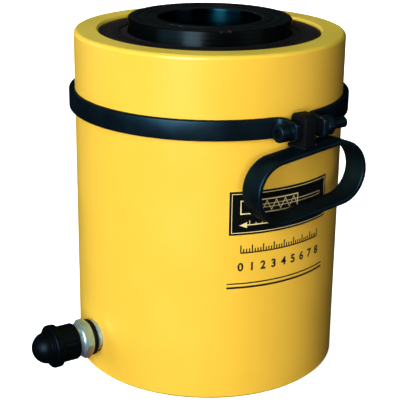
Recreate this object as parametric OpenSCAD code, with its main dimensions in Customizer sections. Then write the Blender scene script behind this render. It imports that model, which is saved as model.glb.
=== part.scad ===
// Hollow plunger hydraulic cylinder, single acting with a return spring.
// Millimetres. The origin is the centre of the base face, +Z runs up along the rod
// hole, the lifting handle faces -Y and the oil coupler points along -X.

/* [Barrel] */
// Outside diameter of the barrel
barrel_d = 212; // [190:1:250]
// Wall of the barrel round the chamber
barrel_wall = 26; // [22:0.5:30]
// Thickness of the base under the chamber
base_t = 24; // [22:0.5:30]
// Radius on the rim's outer edge
rim_round = 3; // [1:0.5:5]
// Chamfer round the foot
foot_chamfer = 1.5; // [0.5:0.5:3]
// Distance of the base holes' middle inside the barrel's outside
base_hole_inset = 17; // [14:0.5:20]
// Tapping diameter of a base hole
base_hole_d = 14; // [10:0.5:16]
// Depth of a base hole
base_hole_depth = 19; // [12:1:21]

/* [Centre tube] */
// Play between the centre tube and the stem round it
tube_play = 1.5; // [1:0.1:2.5]
// Wall of the centre tube round the rod hole
tube_wall = 6.5; // [5:0.5:9]
// Radial step of the screwed shoulder at the tube's foot
tube_shoulder_t = 5; // [3.5:0.5:8]
// Height of the screwed shoulder
tube_shoulder_h = 10; // [8:0.5:12]
// Distance from the saddle down to the tube's top
tube_setback = 5.3; // [3:0.1:12]
// Section of the static ring that seals the tube's foot
tube_ring_d = 2.8; // [2:0.1:3.5]

/* [Gland ring] */
// Distance of the gland face below the rim
gland_recess = 2.3; // [1:0.1:4]
// Height of the gland ring
gland_h = 47; // [42:1:52]
// Step from the chamber bore out to the gland thread
gland_step = 7; // [5:0.5:8]
// Depth of the bearing groove in the gland
bearing_t = 3.5; // [2.5:0.1:5]
// Height of the gland bearing
bearing_h = 25; // [15:1:27]
// Depth of the wiper groove in the gland
wiper_t = 7; // [5:0.5:9]
// Height of the wiper
wiper_h = 7; // [5:0.5:9]

/* [Plunger] */
// Wall of the plunger's stem
stem_wall = 16.5; // [14.5:0.5:20]
// Height of the plunger's top above the rim at rest
plunger_rise = 9.3; // [5:0.1:15]
// Working stroke
stroke = 75; // [50:1:100]
// Chamfer on the plunger's outer top edge
plunger_chamfer = 1.5; // [0.5:0.5:3]
// Radial size of the oil relief under the piston's edge
relief_t = 6; // [4:0.5:8]
// Land between the oil relief and the lip seals
relief_land = 1; // [0.5:0.5:2]

/* [Saddle] */
// Distance of the saddle's edge inside the plunger's outside
saddle_inset = 8; // [6:0.5:9]
// Thickness of the saddle's flange
saddle_t = 8; // [5:0.5:10]
// Radial step from the saddle's flange in to its screwed spigot
spigot_step = 4; // [3:0.5:5]
// Length of the saddle's screwed spigot
spigot_h = 14; // [10:0.5:18]
// Wall of the saddle's spigot round the hole
saddle_wall = 12; // [7:0.5:12]
// Chamfer round the saddle's hole
saddle_chamfer = 1.5; // [1:0.5:3]
// Distance of the groove in the saddle's face from the saddle's edge
saddle_groove_inset = 6; // [5:0.5:8]
// Width of the groove in the saddle's face
saddle_groove_w = 1.2; // [0.8:0.1:1.6]
// Depth of the groove in the saddle's face
saddle_groove_t = 0.6; // [0.4:0.1:1]
// Chamfer that leaves the fine groove between saddle and plunger
saddle_edge = 0.8; // [0.4:0.1:1.5]

/* [Piston seals] */
// Height of each lip seal
cup_h = 10; // [8:0.5:11]
// Radial depth of each lip seal
cup_t = 7; // [6:0.5:9]
// Height of each backup ring
backup_h = 3; // [2:0.5:4]
// Height of each wear ring
wear_h = 12; // [8:0.5:12.5]
// Radial depth of each wear ring
wear_t = 3; // [2:0.5:4]
// Distance from the piston's foot up to the lip seals
cup_level = 10; // [9.5:0.5:11]
// Land between the backup ring and the wear ring
seal_land = 5; // [4:0.5:6]
// Land between the wear ring and the piston's top
piston_land = 10.35; // [8.35:0.5:14.35]

/* [Return spring] */
// Wire diameter of the return spring
spring_wire = 11; // [9:0.5:12]
// Number of turns of the return spring
spring_turns = 5.5; // [4.5:0.5:6.5]
// Radial play on each side of the return spring's wire
spring_side = 2.5; // [1.5:0.5:4]
// Length left between the closed spring's turns at full stroke
spring_play = 8.5; // [5:0.5:15]

/* [Oil port] */
// Height of the port's middle above the chamber's floor
port_rise = 5.2; // [4.5:0.1:7]
// Diameter of the screwed port
port_d = 17; // [16:0.5:18]
// Depth of the screwed port below its spot face
port_depth = 17; // [14:0.5:19]
// Clearance between the nipple's end and the port's floor
port_end_gap = 1; // [0.5:0.5:2]
// Diameter of the passage from the port to the chamber
passage_d = 5; // [3:0.5:6]
// Depth of the port's spot face below the barrel's crown
spot_depth = 1.1; // [1:0.1:1.5]
// Diameter of the nipple's collar
collar_d = 24.8; // [23:0.2:27]
// Length of the nipple's collar outside the spot face
collar_h = 4.4; // [3:0.2:6]
// Diameter of the nipple's neck inside the coupler
neck_d = 16; // [14.5:0.5:17]
// Length of the nipple's neck
neck_h = 8.8; // [8:0.2:9.5]
// Bore of the nipple
nipple_bore_d = 6; // [5.5:0.5:7]
// Outside diameter of the port seal
port_seal_d = 29; // [27:0.5:31]
// Thickness of the port seal
port_seal_t = 3.6; // [3:0.2:4.4]

/* [Coupler] */
// Height of the hexagon's flats above the nose
hex_step = 2.55; // [2.05:0.1:4]
// Length of the hexagon
hex_h = 6.8; // [6:0.2:8]
// Length of the tapered shoulder outside the hexagon
shoulder_h = 4.8; // [4:0.2:7]
// Radial step from the shoulder down to the nose
shoulder_step = 1.5; // [1:0.1:2]
// Wall of the nose round the valve bore
nose_wall = 4.7; // [3.7:0.1:6]
// Bore that the valve works in
valve_bore_d = 13; // [12:0.5:14]
// Length of the valve bore
valve_bore_h = 18; // [17:0.5:20]
// Length and radial depth of the tapered valve seat
seat_h = 2.5; // [2:0.5:3]
// Land between the valve seat and the seal in the mouth
mouth_land = 1.9; // [1.4:0.1:3]
// Diameter of the valve's pin
pin_d = 4; // [3:0.5:4.5]
// Thickness of the valve's disc
valve_disc_t = 2; // [1.5:0.5:3]
// Distance of the pin's tip inside the nose
pin_setback = 1; // [0.5:0.5:2]
// Thickness of the valve stop
stop_t = 3; // [2:0.5:3.5]
// Wire diameter of the valve spring
valve_wire = 1.1; // [0.8:0.1:1.2]
// Radial width of the seal in the mouth
lip_seal_w = 2; // [1.5:0.5:2.5]
// Thickness of the seal in the mouth
lip_seal_t = 2.4; // [2:0.2:2.6]

/* [Dust cap] */
// Wall of the cap's skirt
skirt_wall = 3; // [2:0.5:4]
// Thickness of the cap's end over the nose
cap_end = 3; // [3:0.2:7]
// Height of the grip flange above the skirt
flange_step = 2.5; // [1.5:0.5:4.5]
// Thickness of the grip flange
flange_h = 7; // [6:0.2:10]
// Depth of the small ridge below the skirt's outside
ridge_step = 1.4; // [0.4:0.2:1.6]
// Thickness of the small ridge
ridge_h = 2.4; // [2:0.2:4]
// Depth of the domed end below the skirt's outside
dome_step = 1.9; // [1.8:0.1:3.5]
// Running gap between the cap and the coupler
cap_gap = 0.3; // [0.2:0.05:0.4]

/* [Clamp band] */
// Distance of the band's middle below the rim
band_drop = 53.1; // [45:0.5:60]
// Height of the band
band_h = 14.8; // [13:0.2:18]
// Thickness of the band
band_t = 4.6; // [4:0.1:5.5]
// Gap between the band's two ears
ear_gap = 21.5; // [18:0.5:24]
// Inside radius of the bend into each ear
bend_r = 6; // [5:0.5:8]
// Rim of the ear left beyond the washer
ear_rim = 0.3; // [0.1:0.1:2.5]
// Radius on the ears' corners
ear_corner = 3.5; // [2:0.5:5]
// Turn of the clamp about the barrel from the front
clamp_turn = 2.2; // [-4:0.2:4]

/* [Clamp bolt] */
// Thread diameter of the clamp bolt
bolt_d = 8; // [7:0.5:8.5]
// Length of the bolt under its head
bolt_length = 55; // [50:1:65]
// Diameter of the bolt's head
bolt_head_d = 13; // [12:0.5:14]
// Height of the bolt's head
bolt_head_h = 8; // [6:0.5:9]
// Distance across the flats of the bolt's socket
socket_flats = 6; // [4:0.5:7]
// Depth of the bolt's socket
socket_depth = 4; // [3:0.5:4.5]
// Distance across the flats of the nut
nut_flats = 13; // [12:0.5:14]
// Height of the nut
nut_h = 6.5; // [5:0.5:8]
// Outside diameter of the flat washer
washer_d = 13; // [12.5:0.5:14]
// Thickness of the flat washer
washer_t = 1.6; // [1:0.1:2]
// Outside diameter of the lock washer
lock_d = 12.7; // [12:0.1:13.5]
// Thickness of the lock washer
lock_t = 2; // [1.6:0.1:3]
// Width of the split in the lock washer
lock_split = 1.2; // [0.8:0.1:2]

/* [Handle] */
// Outside diameter of the bush that the handle turns on
bush_d = 12; // [11:0.5:13]
// Half the knuckle's depth, out from the bolt's axis
knuckle_half = 8.5; // [8.5:0.25:9.5]
// Height of the knuckle's top over the bolt's axis
knuckle_rise = 11.8; // [10.8:0.2:12.4]
// Radius of the knuckle's two top corners
knuckle_round = 4.5; // [3:0.5:6]
// Width of the knuckle along the bolt
knuckle_w = 10.4; // [9:0.2:14]
// Side play between the knuckle and the near ear
knuckle_play = 2.6; // [0.2:0.2:4]
// Length of the loop across the handle
loop_length = 97; // [80:1:110]
// Height of the loop
loop_height = 48.4; // [44:0.2:54]
// Thickness of the loop's flat bar
loop_bar_t = 3.2; // [2.5:0.1:4]
// Width of the loop's flat bar
loop_bar_w = 20.4; // [16:0.2:24]
// Gap between the barrel and the loop
loop_stand_off = 11.8; // [10:0.2:14]
// Drop from the bolt's axis to the loop's top
loop_drop = 11.7; // [11.3:0.1:15]
// Skew of the loop about its facing direction
loop_skew = 7.8; // [-9:0.2:9]
// Outward tilt of the loop's lower side
loop_tilt = 2.2; // [0:0.2:4]

/* [Name plate] */
// Angle that the blank plate spans round the barrel
plate_angle = 49; // [40:1:60]
// Height of the plate
plate_h = 33.5; // [25:0.5:40]
// Distance of the plate's upper edge below the band
plate_drop = 39.5; // [30:0.5:50]
// Thickness of the plate
plate_t = 0.4; // [0.3:0.1:0.8]

/* [Hidden] */
$fn = 96;

// Overrun of every cut past the face that it opens
cut = 1;
// Radial clearance of threads and of pieces that stay seated
seat_gap = 0.05;
// Radial clearance of a guide or lip that slides
slide_gap = 0.05;
// Clearance between moving metal faces that don't guide
free_gap = 0.35;
// Overlap that joins the band's bends to its round part
band_lap = 0.2;

// Diameters, from the barrel's outside in to the rod hole
barrel_r = barrel_d / 2;
chamber_d = barrel_d - 2 * barrel_wall;
gland_d = chamber_d + 2 * gland_step;
plunger_d = chamber_d - 2 * (spring_wire + 2 * spring_side);
stem_bore_d = plunger_d - 2 * stem_wall;
tube_od = stem_bore_d - 2 * tube_play;
tube_id = tube_od - 2 * tube_wall;
tube_shoulder_d = tube_od + 2 * tube_shoulder_t;
piston_d = chamber_d - 2 * free_gap;
piston_bore_d = tube_od + 2 * free_gap;
saddle_d = plunger_d - 2 * saddle_inset;
spigot_d = saddle_d - 2 * spigot_step;
saddle_hole_d = spigot_d - 2 * saddle_wall;
base_hole_circle = barrel_d - 2 * base_hole_inset;

// Levels, from the base up to the plunger's top
piston_foot = base_t + free_gap;
relief_h = cup_level - relief_land;
cup_foot = piston_foot + cup_level;
wear_foot = cup_foot + cup_h + backup_h + seal_land;
piston_top = wear_foot + wear_h + piston_land;
spring_room = spring_turns * spring_wire + spring_play;
gland_foot = piston_top + stroke + spring_room;
gland_top = gland_foot + gland_h;
barrel_h = gland_top + gland_recess;
plunger_top = barrel_h + plunger_rise;
spigot_foot = plunger_top - saddle_t - spigot_h;
tube_h = spigot_foot - tube_setback;
port_z = base_t + port_rise;
band_z = barrel_h - band_drop;
plate_z = band_z - band_h / 2 - plate_drop - plate_h;

// Stations along the oil port, measured out from the barrel's axis
spot_s = barrel_r - spot_depth;
port_foot_s = spot_s - port_depth;
collar_s = spot_s + collar_h;
hex_s = collar_s + port_seal_t;
shoulder_s = hex_s + hex_h;
cap_s = shoulder_s + shoulder_h;
neck_end_s = collar_s + neck_h;
seat_s = neck_end_s + valve_bore_h;
nose_s = seat_s + seat_h + mouth_land + lip_seal_t;
nose_h = nose_s - cap_s;

// Diameters along the coupler and its cap
nose_d = valve_bore_d + 2 * nose_wall;
mouth_d = valve_bore_d - 2 * seat_h;
lip_seal_d = mouth_d + 2 * lip_seal_w;
hex_flats = nose_d + 2 * hex_step;
hex_corners = hex_flats / cos(30);
shoulder_d = nose_d + 2 * shoulder_step;
skirt_h = nose_h + cap_end - flange_h;
skirt_d = nose_d + 2 * (cap_gap + skirt_wall);
flange_d = skirt_d + 2 * flange_step;
ridge_d = skirt_d - 2 * ridge_step;
dome_r = skirt_d / 2 - dome_step;
dome_z = skirt_h + flange_h + ridge_h / 2;

// Places in the clamp's own frame, where -Y points out through the clamp
band_r = barrel_r + seat_gap;
bend_c_x = ear_gap / 2 + band_t + bend_r;
bend_c_r = band_r + band_t + bend_r;
bend_c_y = -sqrt(pow(bend_c_r, 2) - pow(bend_c_x, 2));
bend_turn = asin(bend_c_x / bend_c_r);
ear_outer = ear_gap / 2 + band_t;
seat_r = max(washer_d, nut_flats) / 2;
pivot_r = -bend_c_y + seat_r + seat_gap;
ear_end = pivot_r + seat_r + ear_rim;
head_seat = -(ear_outer + washer_t + lock_t);
bolt_tip = bolt_d / 8;
loop_r = barrel_r + loop_stand_off + loop_bar_w / 2;
loop_z = band_z - loop_drop - loop_height / 2;
knuckle_foot = loop_z + loop_height / 4;

// Round column on the barrel's axis
module column(d, foot, top) {
    translate([0, 0, foot]) cylinder(d = d, h = top - foot);
}

// Ring on the barrel's axis
module ring(outer_d, inner_d, foot, top) {
    difference() {
        column(outer_d, foot, top);
        column(inner_d, foot - cut, top + cut);
    }
}

// Cone that breaks the edge of a hole whose mouth faces +Z at the level top
module mouth_chamfer(d, size, top) {
    translate([0, 0, top - size])
        cylinder(d1 = d, d2 = d + 2 * (size + cut), h = size + cut);
}

// Wedge-shaped ring that breaks the outer edge of a column at the level top
module edge_chamfer(d, size, top) {
    difference() {
        column(d + 2 * cut, top - size, top + cut);
        translate([0, 0, top - size])
            cylinder(d1 = d, d2 = d - 2 * (size + cut), h = size + cut);
        column(d - 2 * (size + 2 * cut), top - size - cut, top + 2 * cut);
    }
}

// Puts a shape drawn along +Z onto the port's axis, s out from the barrel's axis
module on_port(s) {
    translate([-s, 0, port_z]) rotate([0, -90, 0]) children();
}

// Puts a shape drawn along +Z onto the bolt's axis, x from the clamp's middle
module on_bolt(x) {
    rotate([0, 0, clamp_turn])
        translate([x, -pivot_r, band_z])
            rotate([0, 90, 0]) children();
}

// Level of a spring wire's lower side at turn t, with one closed turn at each end
function coil_rise(t, turns, wire, height) =
    t < 1 ? t * wire :
    t > turns - 1 ? height - (turns - t) * wire :
    wire + (t - 1) * (height - 2 * wire) / (turns - 2);

// Points round a spring wire, ring by ring
function coil_points(mean_r, wire, height, turns, steps, sides) = [
    for (i = [0 : turns * steps], j = [0 : sides - 1])
        let (around = 360 * i / steps, section = 360 * j / sides,
            r = mean_r + wire / 2 * cos(section))
            [r * cos(around), r * sin(around),
                coil_rise(i / steps, turns, wire, height - wire) + wire / 2 * (1 + sin(section))]
];

// Skin and end faces of a swept wire
function coil_faces(rings, sides) = concat(
    [[for (j = [0 : sides - 1]) j]],
    [for (i = [0 : rings - 2], j = [0 : sides - 1])
        let (k = (j + 1) % sides)
            [i * sides + j, (i + 1) * sides + j, (i + 1) * sides + k, i * sides + k]],
    [[for (j = [sides - 1 : -1 : 0]) (rings - 1) * sides + j]]
);

// Spring that stands on the level zero
module coil(mean_d, wire, height, turns, steps, sides) {
    polyhedron(
        coil_points(mean_d / 2, wire, height, turns, steps, sides),
        coil_faces(turns * steps + 1, sides),
        convexity = 8);
}

// Lip seal: a ring whose foot is hollowed into two lips
module lip_seal(outer_d, inner_d, foot, top) {
    mid_r = (outer_d + inner_d) / 4;
    lip = (outer_d - inner_d) / 2;
    difference() {
        ring(outer_d, inner_d, foot, top);
        rotate_extrude()
            polygon([
                [mid_r - lip / 4, foot - cut],
                [mid_r + lip / 4, foot - cut],
                [mid_r + lip / 4, foot],
                [mid_r, (foot + top) / 2],
                [mid_r - lip / 4, foot]]);
    }
}

// Rounded cutter for the rim's outer edge
module rim_cutter() {
    rotate_extrude()
        difference() {
            translate([barrel_r - rim_round, barrel_h - rim_round])
                square(rim_round + cut);
            translate([barrel_r - rim_round, barrel_h - rim_round])
                circle(r = rim_round);
        }
}

// Barrel with its chamber, gland pocket, tube seat, oil port and base holes
module cylinder_body() {
    color("gold")
        difference() {
            column(barrel_d, 0, barrel_h);
            rim_cutter();
            mirror([0, 0, 1]) edge_chamfer(barrel_d, foot_chamfer, 0);
            column(chamber_d, base_t, barrel_h);
            column(gland_d, gland_foot, barrel_h + cut);
            mouth_chamfer(gland_d, foot_chamfer, barrel_h);
            column(tube_od + 2 * seat_gap, -cut, base_t + cut);
            column(tube_shoulder_d + 2 * seat_gap, base_t - tube_shoulder_h, base_t + cut);
            tube_ring_groove();
            on_port(spot_s) cylinder(d = collar_d + 2 * free_gap, h = spot_depth + cut);
            on_port(port_foot_s) cylinder(d = port_d, h = port_depth + cut);
            on_port(chamber_d / 2 - cut)
                cylinder(d = passage_d, h = port_foot_s - chamber_d / 2 + 2 * cut);
            for (side = [-1, 1])
                translate([0, side * base_hole_circle / 2, -cut])
                    cylinder(d = base_hole_d, h = base_hole_depth + cut);
        }
}

// Groove in the base for the static ring
module tube_ring_groove() {
    groove_foot = (base_t - tube_shoulder_h - tube_ring_d) / 2 - seat_gap;
    column(tube_od + 2 * tube_ring_d + 4 * seat_gap, groove_foot,
        groove_foot + tube_ring_d + 2 * seat_gap);
}

// Centre tube that the rod passes through and the plunger slides on
module center_tube() {
    color("silver")
        difference() {
            union() {
                column(tube_od, 0, tube_h);
                column(tube_shoulder_d, base_t - tube_shoulder_h, base_t);
            }
            column(tube_id, -cut, tube_h + cut);
            edge_chamfer(tube_od, saddle_edge, tube_h);
        }
}

module tube_o_ring() {
    color("black")
        rotate_extrude()
            translate([(tube_od + tube_ring_d) / 2 + seat_gap, (base_t - tube_shoulder_h) / 2])
                circle(d = tube_ring_d);
}

// Screwed ring that closes the barrel and guides the plunger
module gland_ring() {
    color("dimgray")
        difference() {
            column(gland_d - 2 * seat_gap, gland_foot, gland_top);
            column(plunger_d + 2 * free_gap, gland_foot - cut, gland_top + cut);
            column(plunger_d + 2 * bearing_t, bearing_foot(), bearing_foot() + bearing_h);
            column(plunger_d + 2 * wiper_t, gland_top - wiper_h, gland_top + cut);
            edge_chamfer(gland_d - 2 * seat_gap, saddle_edge, gland_top);
        }
}

function bearing_foot() = gland_foot + (gland_h - wiper_h - bearing_h) / 2;

module gland_bearing() {
    color("peru")
        ring(plunger_d + 2 * (bearing_t - seat_gap), plunger_d + 2 * slide_gap,
            bearing_foot() + seat_gap, bearing_foot() + bearing_h - seat_gap);
}

// Wiper whose lip rises towards the plunger
module rod_wiper() {
    inner = plunger_d / 2 + slide_gap;
    outer = plunger_d / 2 + wiper_t - seat_gap;
    foot = gland_top - wiper_h + seat_gap;
    color("black")
        rotate_extrude()
            polygon([
                [inner, foot],
                [outer, foot],
                [outer, gland_top - saddle_edge],
                [(inner + outer) / 2, gland_top - saddle_edge],
                [inner + saddle_edge, gland_top],
                [inner, gland_top]]);
}

// Plunger stem with its piston head
module plunger() {
    color("dimgray")
        difference() {
            union() {
                column(plunger_d, piston_foot, plunger_top);
                column(piston_d, piston_foot, piston_top);
            }
            column(piston_bore_d, piston_foot - cut, piston_top);
            column(stem_bore_d, piston_top - seal_land, plunger_top);
            column(spigot_d + 2 * seat_gap, spigot_foot, plunger_top);
            column(saddle_d + 2 * seat_gap, plunger_top - saddle_t, plunger_top + cut);
            edge_chamfer(plunger_d, plunger_chamfer, plunger_top);
            mouth_chamfer(saddle_d, saddle_edge, plunger_top);
            piston_relief();
            ring(piston_d + 2 * cut, chamber_d - 2 * cup_t, cup_foot, cup_foot + cup_h + backup_h);
            ring(piston_d + 2 * cut, chamber_d - 2 * wear_t, wear_foot, wear_foot + wear_h);
            column(tube_od + 2 * cup_t, cup_foot, cup_foot + cup_h + backup_h);
            column(tube_od + 2 * wear_t, wear_foot, wear_foot + wear_h);
        }
}

// Sloped relief that lets oil in under the piston from the passage
module piston_relief() {
    difference() {
        column(piston_d + 2 * cut, piston_foot - cut, piston_foot + relief_h);
        translate([0, 0, piston_foot - cut])
            cylinder(d1 = piston_d - 2 * relief_t * (relief_h + cut) / relief_h, d2 = piston_d,
                h = relief_h + cut);
    }
}

// Screwed saddle that takes the load round the rod
module saddle() {
    groove_d = saddle_d - 2 * saddle_groove_inset;
    color("gray")
        difference() {
            union() {
                column(saddle_d, plunger_top - saddle_t, plunger_top);
                column(spigot_d, spigot_foot, plunger_top);
            }
            column(saddle_hole_d, spigot_foot - cut, plunger_top + cut);
            ring(groove_d, groove_d - 2 * saddle_groove_w, plunger_top - saddle_groove_t,
                plunger_top + cut);
            mouth_chamfer(saddle_hole_d, saddle_chamfer, plunger_top);
            edge_chamfer(saddle_d, saddle_edge, plunger_top);
        }
}

module piston_wear_ring() {
    color("peru")
        ring(chamber_d - 2 * slide_gap, chamber_d - 2 * (wear_t - seat_gap),
            wear_foot + seat_gap, wear_foot + wear_h - seat_gap);
}

module piston_u_cup() {
    color("black")
        lip_seal(chamber_d - 2 * slide_gap, chamber_d - 2 * (cup_t - seat_gap),
            cup_foot + seat_gap, cup_foot + cup_h);
}

module piston_backup_ring() {
    color("ivory")
        ring(chamber_d - 2 * slide_gap, chamber_d - 2 * (cup_t - seat_gap),
            cup_foot + cup_h, cup_foot + cup_h + backup_h - seat_gap);
}

module tube_wear_ring() {
    color("peru")
        ring(tube_od + 2 * (wear_t - seat_gap), tube_od + 2 * slide_gap,
            wear_foot + seat_gap, wear_foot + wear_h - seat_gap);
}

module tube_u_cup() {
    color("black")
        lip_seal(tube_od + 2 * (cup_t - seat_gap), tube_od + 2 * slide_gap,
            cup_foot + seat_gap, cup_foot + cup_h);
}

module tube_backup_ring() {
    color("ivory")
        ring(tube_od + 2 * (cup_t - seat_gap), tube_od + 2 * slide_gap,
            cup_foot + cup_h, cup_foot + cup_h + backup_h - seat_gap);
}

module return_spring() {
    color("slategray")
        translate([0, 0, piston_top + seat_gap])
            coil((plunger_d + chamber_d) / 2, spring_wire,
                gland_foot - piston_top - 2 * seat_gap, spring_turns, 24, 10);
}

// Nipple that screws into the port and carries the coupler
module port_nipple() {
    color("silver")
        difference() {
            union() {
                on_port(port_foot_s + port_end_gap)
                    cylinder(d = port_d - 2 * seat_gap, h = port_depth - port_end_gap + collar_h);
                on_port(spot_s) cylinder(d = collar_d, h = collar_h);
                on_port(spot_s) cylinder(d = neck_d, h = collar_h + neck_h);
            }
            on_port(port_foot_s)
                cylinder(d = nipple_bore_d, h = port_depth + collar_h + neck_h + cut);
        }
}

// Soft washer squeezed between the nipple's collar and the coupler
module port_seal() {
    edge = port_seal_t / 2 - seat_gap;
    color("black")
        on_port(collar_s + port_seal_t / 2)
            rotate_extrude() {
                translate([neck_d / 2 + seat_gap, -edge])
                    square([(port_seal_d - neck_d) / 2 - seat_gap - edge, 2 * edge]);
                translate([port_seal_d / 2 - edge, 0]) circle(r = edge);
            }
}

// Coupler half with its hexagon, tapered shoulder and nose
module coupler_body() {
    socket_d = neck_d + 2 * seat_gap;
    color("tan")
        difference() {
            union() {
                hexagon();
                on_port(hex_s) rotate_extrude() coupler_outline();
            }
            on_port(hex_s - cut) cylinder(d = socket_d, h = neck_end_s - hex_s + cut + seat_gap);
            on_port(neck_end_s) cylinder(d = valve_bore_d, h = valve_bore_h);
            on_port(seat_s) cylinder(d1 = valve_bore_d, d2 = mouth_d, h = seat_h);
            on_port(seat_s) cylinder(d = mouth_d, h = nose_s - seat_s + cut);
            on_port(nose_s - lip_seal_t - seat_gap)
                cylinder(d = lip_seal_d + 2 * seat_gap, h = lip_seal_t + seat_gap + cut);
        }
}

// Half section of the coupler's core, shoulder and nose
module coupler_outline() {
    polygon([
        [0, 0],
        [shoulder_d / 2, 0],
        [shoulder_d / 2, hex_h],
        [hex_flats / 2, hex_h],
        [shoulder_d / 2, cap_s - hex_s],
        [nose_d / 2, cap_s - hex_s],
        [nose_d / 2, nose_s - hex_s],
        [0, nose_s - hex_s]]);
}

// Hexagon with a flat on top, its corners turned down at both ends
module hexagon() {
    bevel_h = (hex_corners - hex_flats) / 4;
    on_port(hex_s)
        intersection() {
            rotate(30) cylinder(d = hex_corners, h = hex_h, $fn = 6);
            rotate_extrude()
                polygon([
                    [0, 0],
                    [hex_flats / 2, 0],
                    [hex_corners / 2 + cut, bevel_h],
                    [hex_corners / 2 + cut, hex_h - bevel_h],
                    [hex_flats / 2, hex_h],
                    [0, hex_h]]);
        }
}

// Perforated disc that the valve spring pushes against
module valve_stop() {
    color("silver")
        difference() {
            on_port(neck_end_s) cylinder(d = valve_bore_d - 2 * seat_gap, h = stop_t);
            on_port(neck_end_s - cut) cylinder(d = pin_d + 2 * free_gap, h = stop_t + 2 * cut);
            for (turn = [0 : 90 : 270])
                on_port(neck_end_s - cut)
                    rotate([0, 0, turn])
                        translate([(valve_bore_d + pin_d) / 4 + seat_gap, 0, 0])
                            cylinder(d = pin_d / 2, h = stop_t + 2 * cut);
        }
}

module valve_spring() {
    spring_h = valve_disc_s() - neck_end_s - stop_t - 2 * seat_gap;
    color("slategray")
        on_port(neck_end_s + stop_t + seat_gap)
            coil((valve_bore_d + pin_d) / 2, valve_wire, spring_h, 4, 16, 6);
}

// Station of the valve disc's inner face
function valve_disc_s() = seat_s - valve_disc_t - free_gap;

// Spring-loaded valve whose pin is pushed in by the mating coupler half
module coupler_valve() {
    disc_d = valve_bore_d - 2 * free_gap;
    tail_s = neck_end_s + stop_t / 2;
    color("silver") {
        on_port(tail_s) cylinder(d = pin_d, h = nose_s - pin_setback - tail_s);
        on_port(valve_disc_s()) cylinder(d = disc_d, h = valve_disc_t);
        on_port(valve_disc_s() + valve_disc_t)
            cylinder(d1 = disc_d, d2 = mouth_d - 2 * free_gap, h = seat_h);
    }
}

module mouth_seal() {
    color("black")
        on_port(nose_s - lip_seal_t)
            difference() {
                cylinder(d = lip_seal_d, h = lip_seal_t - seat_gap);
                translate([0, 0, -cut]) cylinder(d = mouth_d + seat_gap, h = lip_seal_t + 2 * cut);
            }
}

// Half section of the dust cap's outside, drawn up from its open end
module cap_outline() {
    flange_edge = flange_h / 4;
    square([skirt_d / 2, skirt_h]);
    translate([0, skirt_h]) square([flange_d / 2 - flange_edge, flange_h]);
    translate([0, skirt_h + flange_edge]) square([flange_d / 2, flange_h / 2]);
    for (side = [1, 3])
        translate([flange_d / 2 - flange_edge, skirt_h + side * flange_edge])
            circle(r = flange_edge);
    translate([0, skirt_h + flange_h]) square([ridge_d / 2, ridge_h]);
    intersection() {
        translate([0, dome_z]) circle(r = dome_r);
        translate([0, skirt_h]) square([dome_r, dome_z + dome_r]);
    }
}

// Push-on rubber cap over the coupler's nose
module dust_cap() {
    color("black")
        on_port(cap_s + cap_gap)
            difference() {
                rotate_extrude() cap_outline();
                translate([0, 0, -cut])
                    cylinder(d = nose_d + 2 * cap_gap, h = nose_h + cut);
            }
}

// Plan of one bend and ear, drawn at +X
module ear_plan() {
    intersection() {
        translate([bend_c_x, bend_c_y])
            difference() {
                circle(r = bend_r + band_t);
                circle(r = bend_r);
            }
        polygon([
            [bend_c_x, bend_c_y],
            [0, bend_c_y],
            [0, 0]]);
    }
    translate([ear_gap / 2, -ear_end]) square([band_t, ear_end + bend_c_y + band_lap]);
}

// Plan of the round part of the band, open at the front
module band_plan() {
    reach = 2 * barrel_r;
    difference() {
        circle(r = band_r + band_t);
        circle(r = band_r);
        polygon([
            [0, 0],
            [reach * tan(bend_turn) - band_lap, -reach],
            [-reach * tan(bend_turn) + band_lap, -reach]]);
    }
}

// Cutter that rounds the four outer corners of the ears
module ear_corner_cutter() {
    for (side = [-1, 1])
        difference() {
            translate([0, -ear_end - cut / 2, band_z + side * (band_h / 2 + cut / 2)])
                cube([2 * ear_outer + 2 * cut, 2 * ear_corner + cut, 2 * ear_corner + cut],
                    center = true);
            translate([-ear_outer - 2 * cut, -ear_end + ear_corner,
                band_z + side * (band_h / 2 - ear_corner)])
                rotate([0, 90, 0]) cylinder(r = ear_corner, h = 2 * ear_outer + 4 * cut);
        }
}

// Strap clamped round the barrel, its ends bent out into two ears
module clamp_band() {
    color("dimgray")
        difference() {
            rotate([0, 0, clamp_turn])
                difference() {
                    translate([0, 0, band_z - band_h / 2])
                        linear_extrude(band_h) {
                            band_plan();
                            ear_plan();
                            mirror([1, 0]) ear_plan();
                        }
                    ear_corner_cutter();
                }
            on_bolt(-ear_outer - cut)
                cylinder(d = bolt_d + 2 * free_gap, h = 2 * ear_outer + 2 * cut);
        }
}

// Socket head bolt through both ears
module clamp_bolt() {
    color("dimgray")
        difference() {
            on_bolt(head_seat) rotate_extrude() bolt_outline();
            on_bolt(head_seat - bolt_head_h - cut)
                cylinder(d = socket_flats / cos(30), h = socket_depth + cut, $fn = 6);
        }
}

// Half section of the bolt, with the head's seat at the level zero
module bolt_outline() {
    polygon([
        [0, -bolt_head_h],
        [bolt_head_d / 2, -bolt_head_h],
        [bolt_head_d / 2, 0],
        [bolt_d / 2, 0],
        [bolt_d / 2, bolt_length - bolt_tip],
        [bolt_d / 2 - bolt_tip, bolt_length],
        [0, bolt_length]]);
}

module clamp_nut() {
    color("dimgray")
        on_bolt(ear_outer)
            difference() {
                cylinder(d = nut_flats / cos(30), h = nut_h, $fn = 6);
                translate([0, 0, -cut]) cylinder(d = bolt_d + 2 * seat_gap, h = nut_h + 2 * cut);
            }
}

module flat_washer() {
    color("dimgray")
        on_bolt(-ear_outer - washer_t)
            difference() {
                cylinder(d = washer_d, h = washer_t);
                translate([0, 0, -cut]) cylinder(d = bolt_d + 2 * free_gap, h = washer_t + 2 * cut);
            }
}

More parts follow.
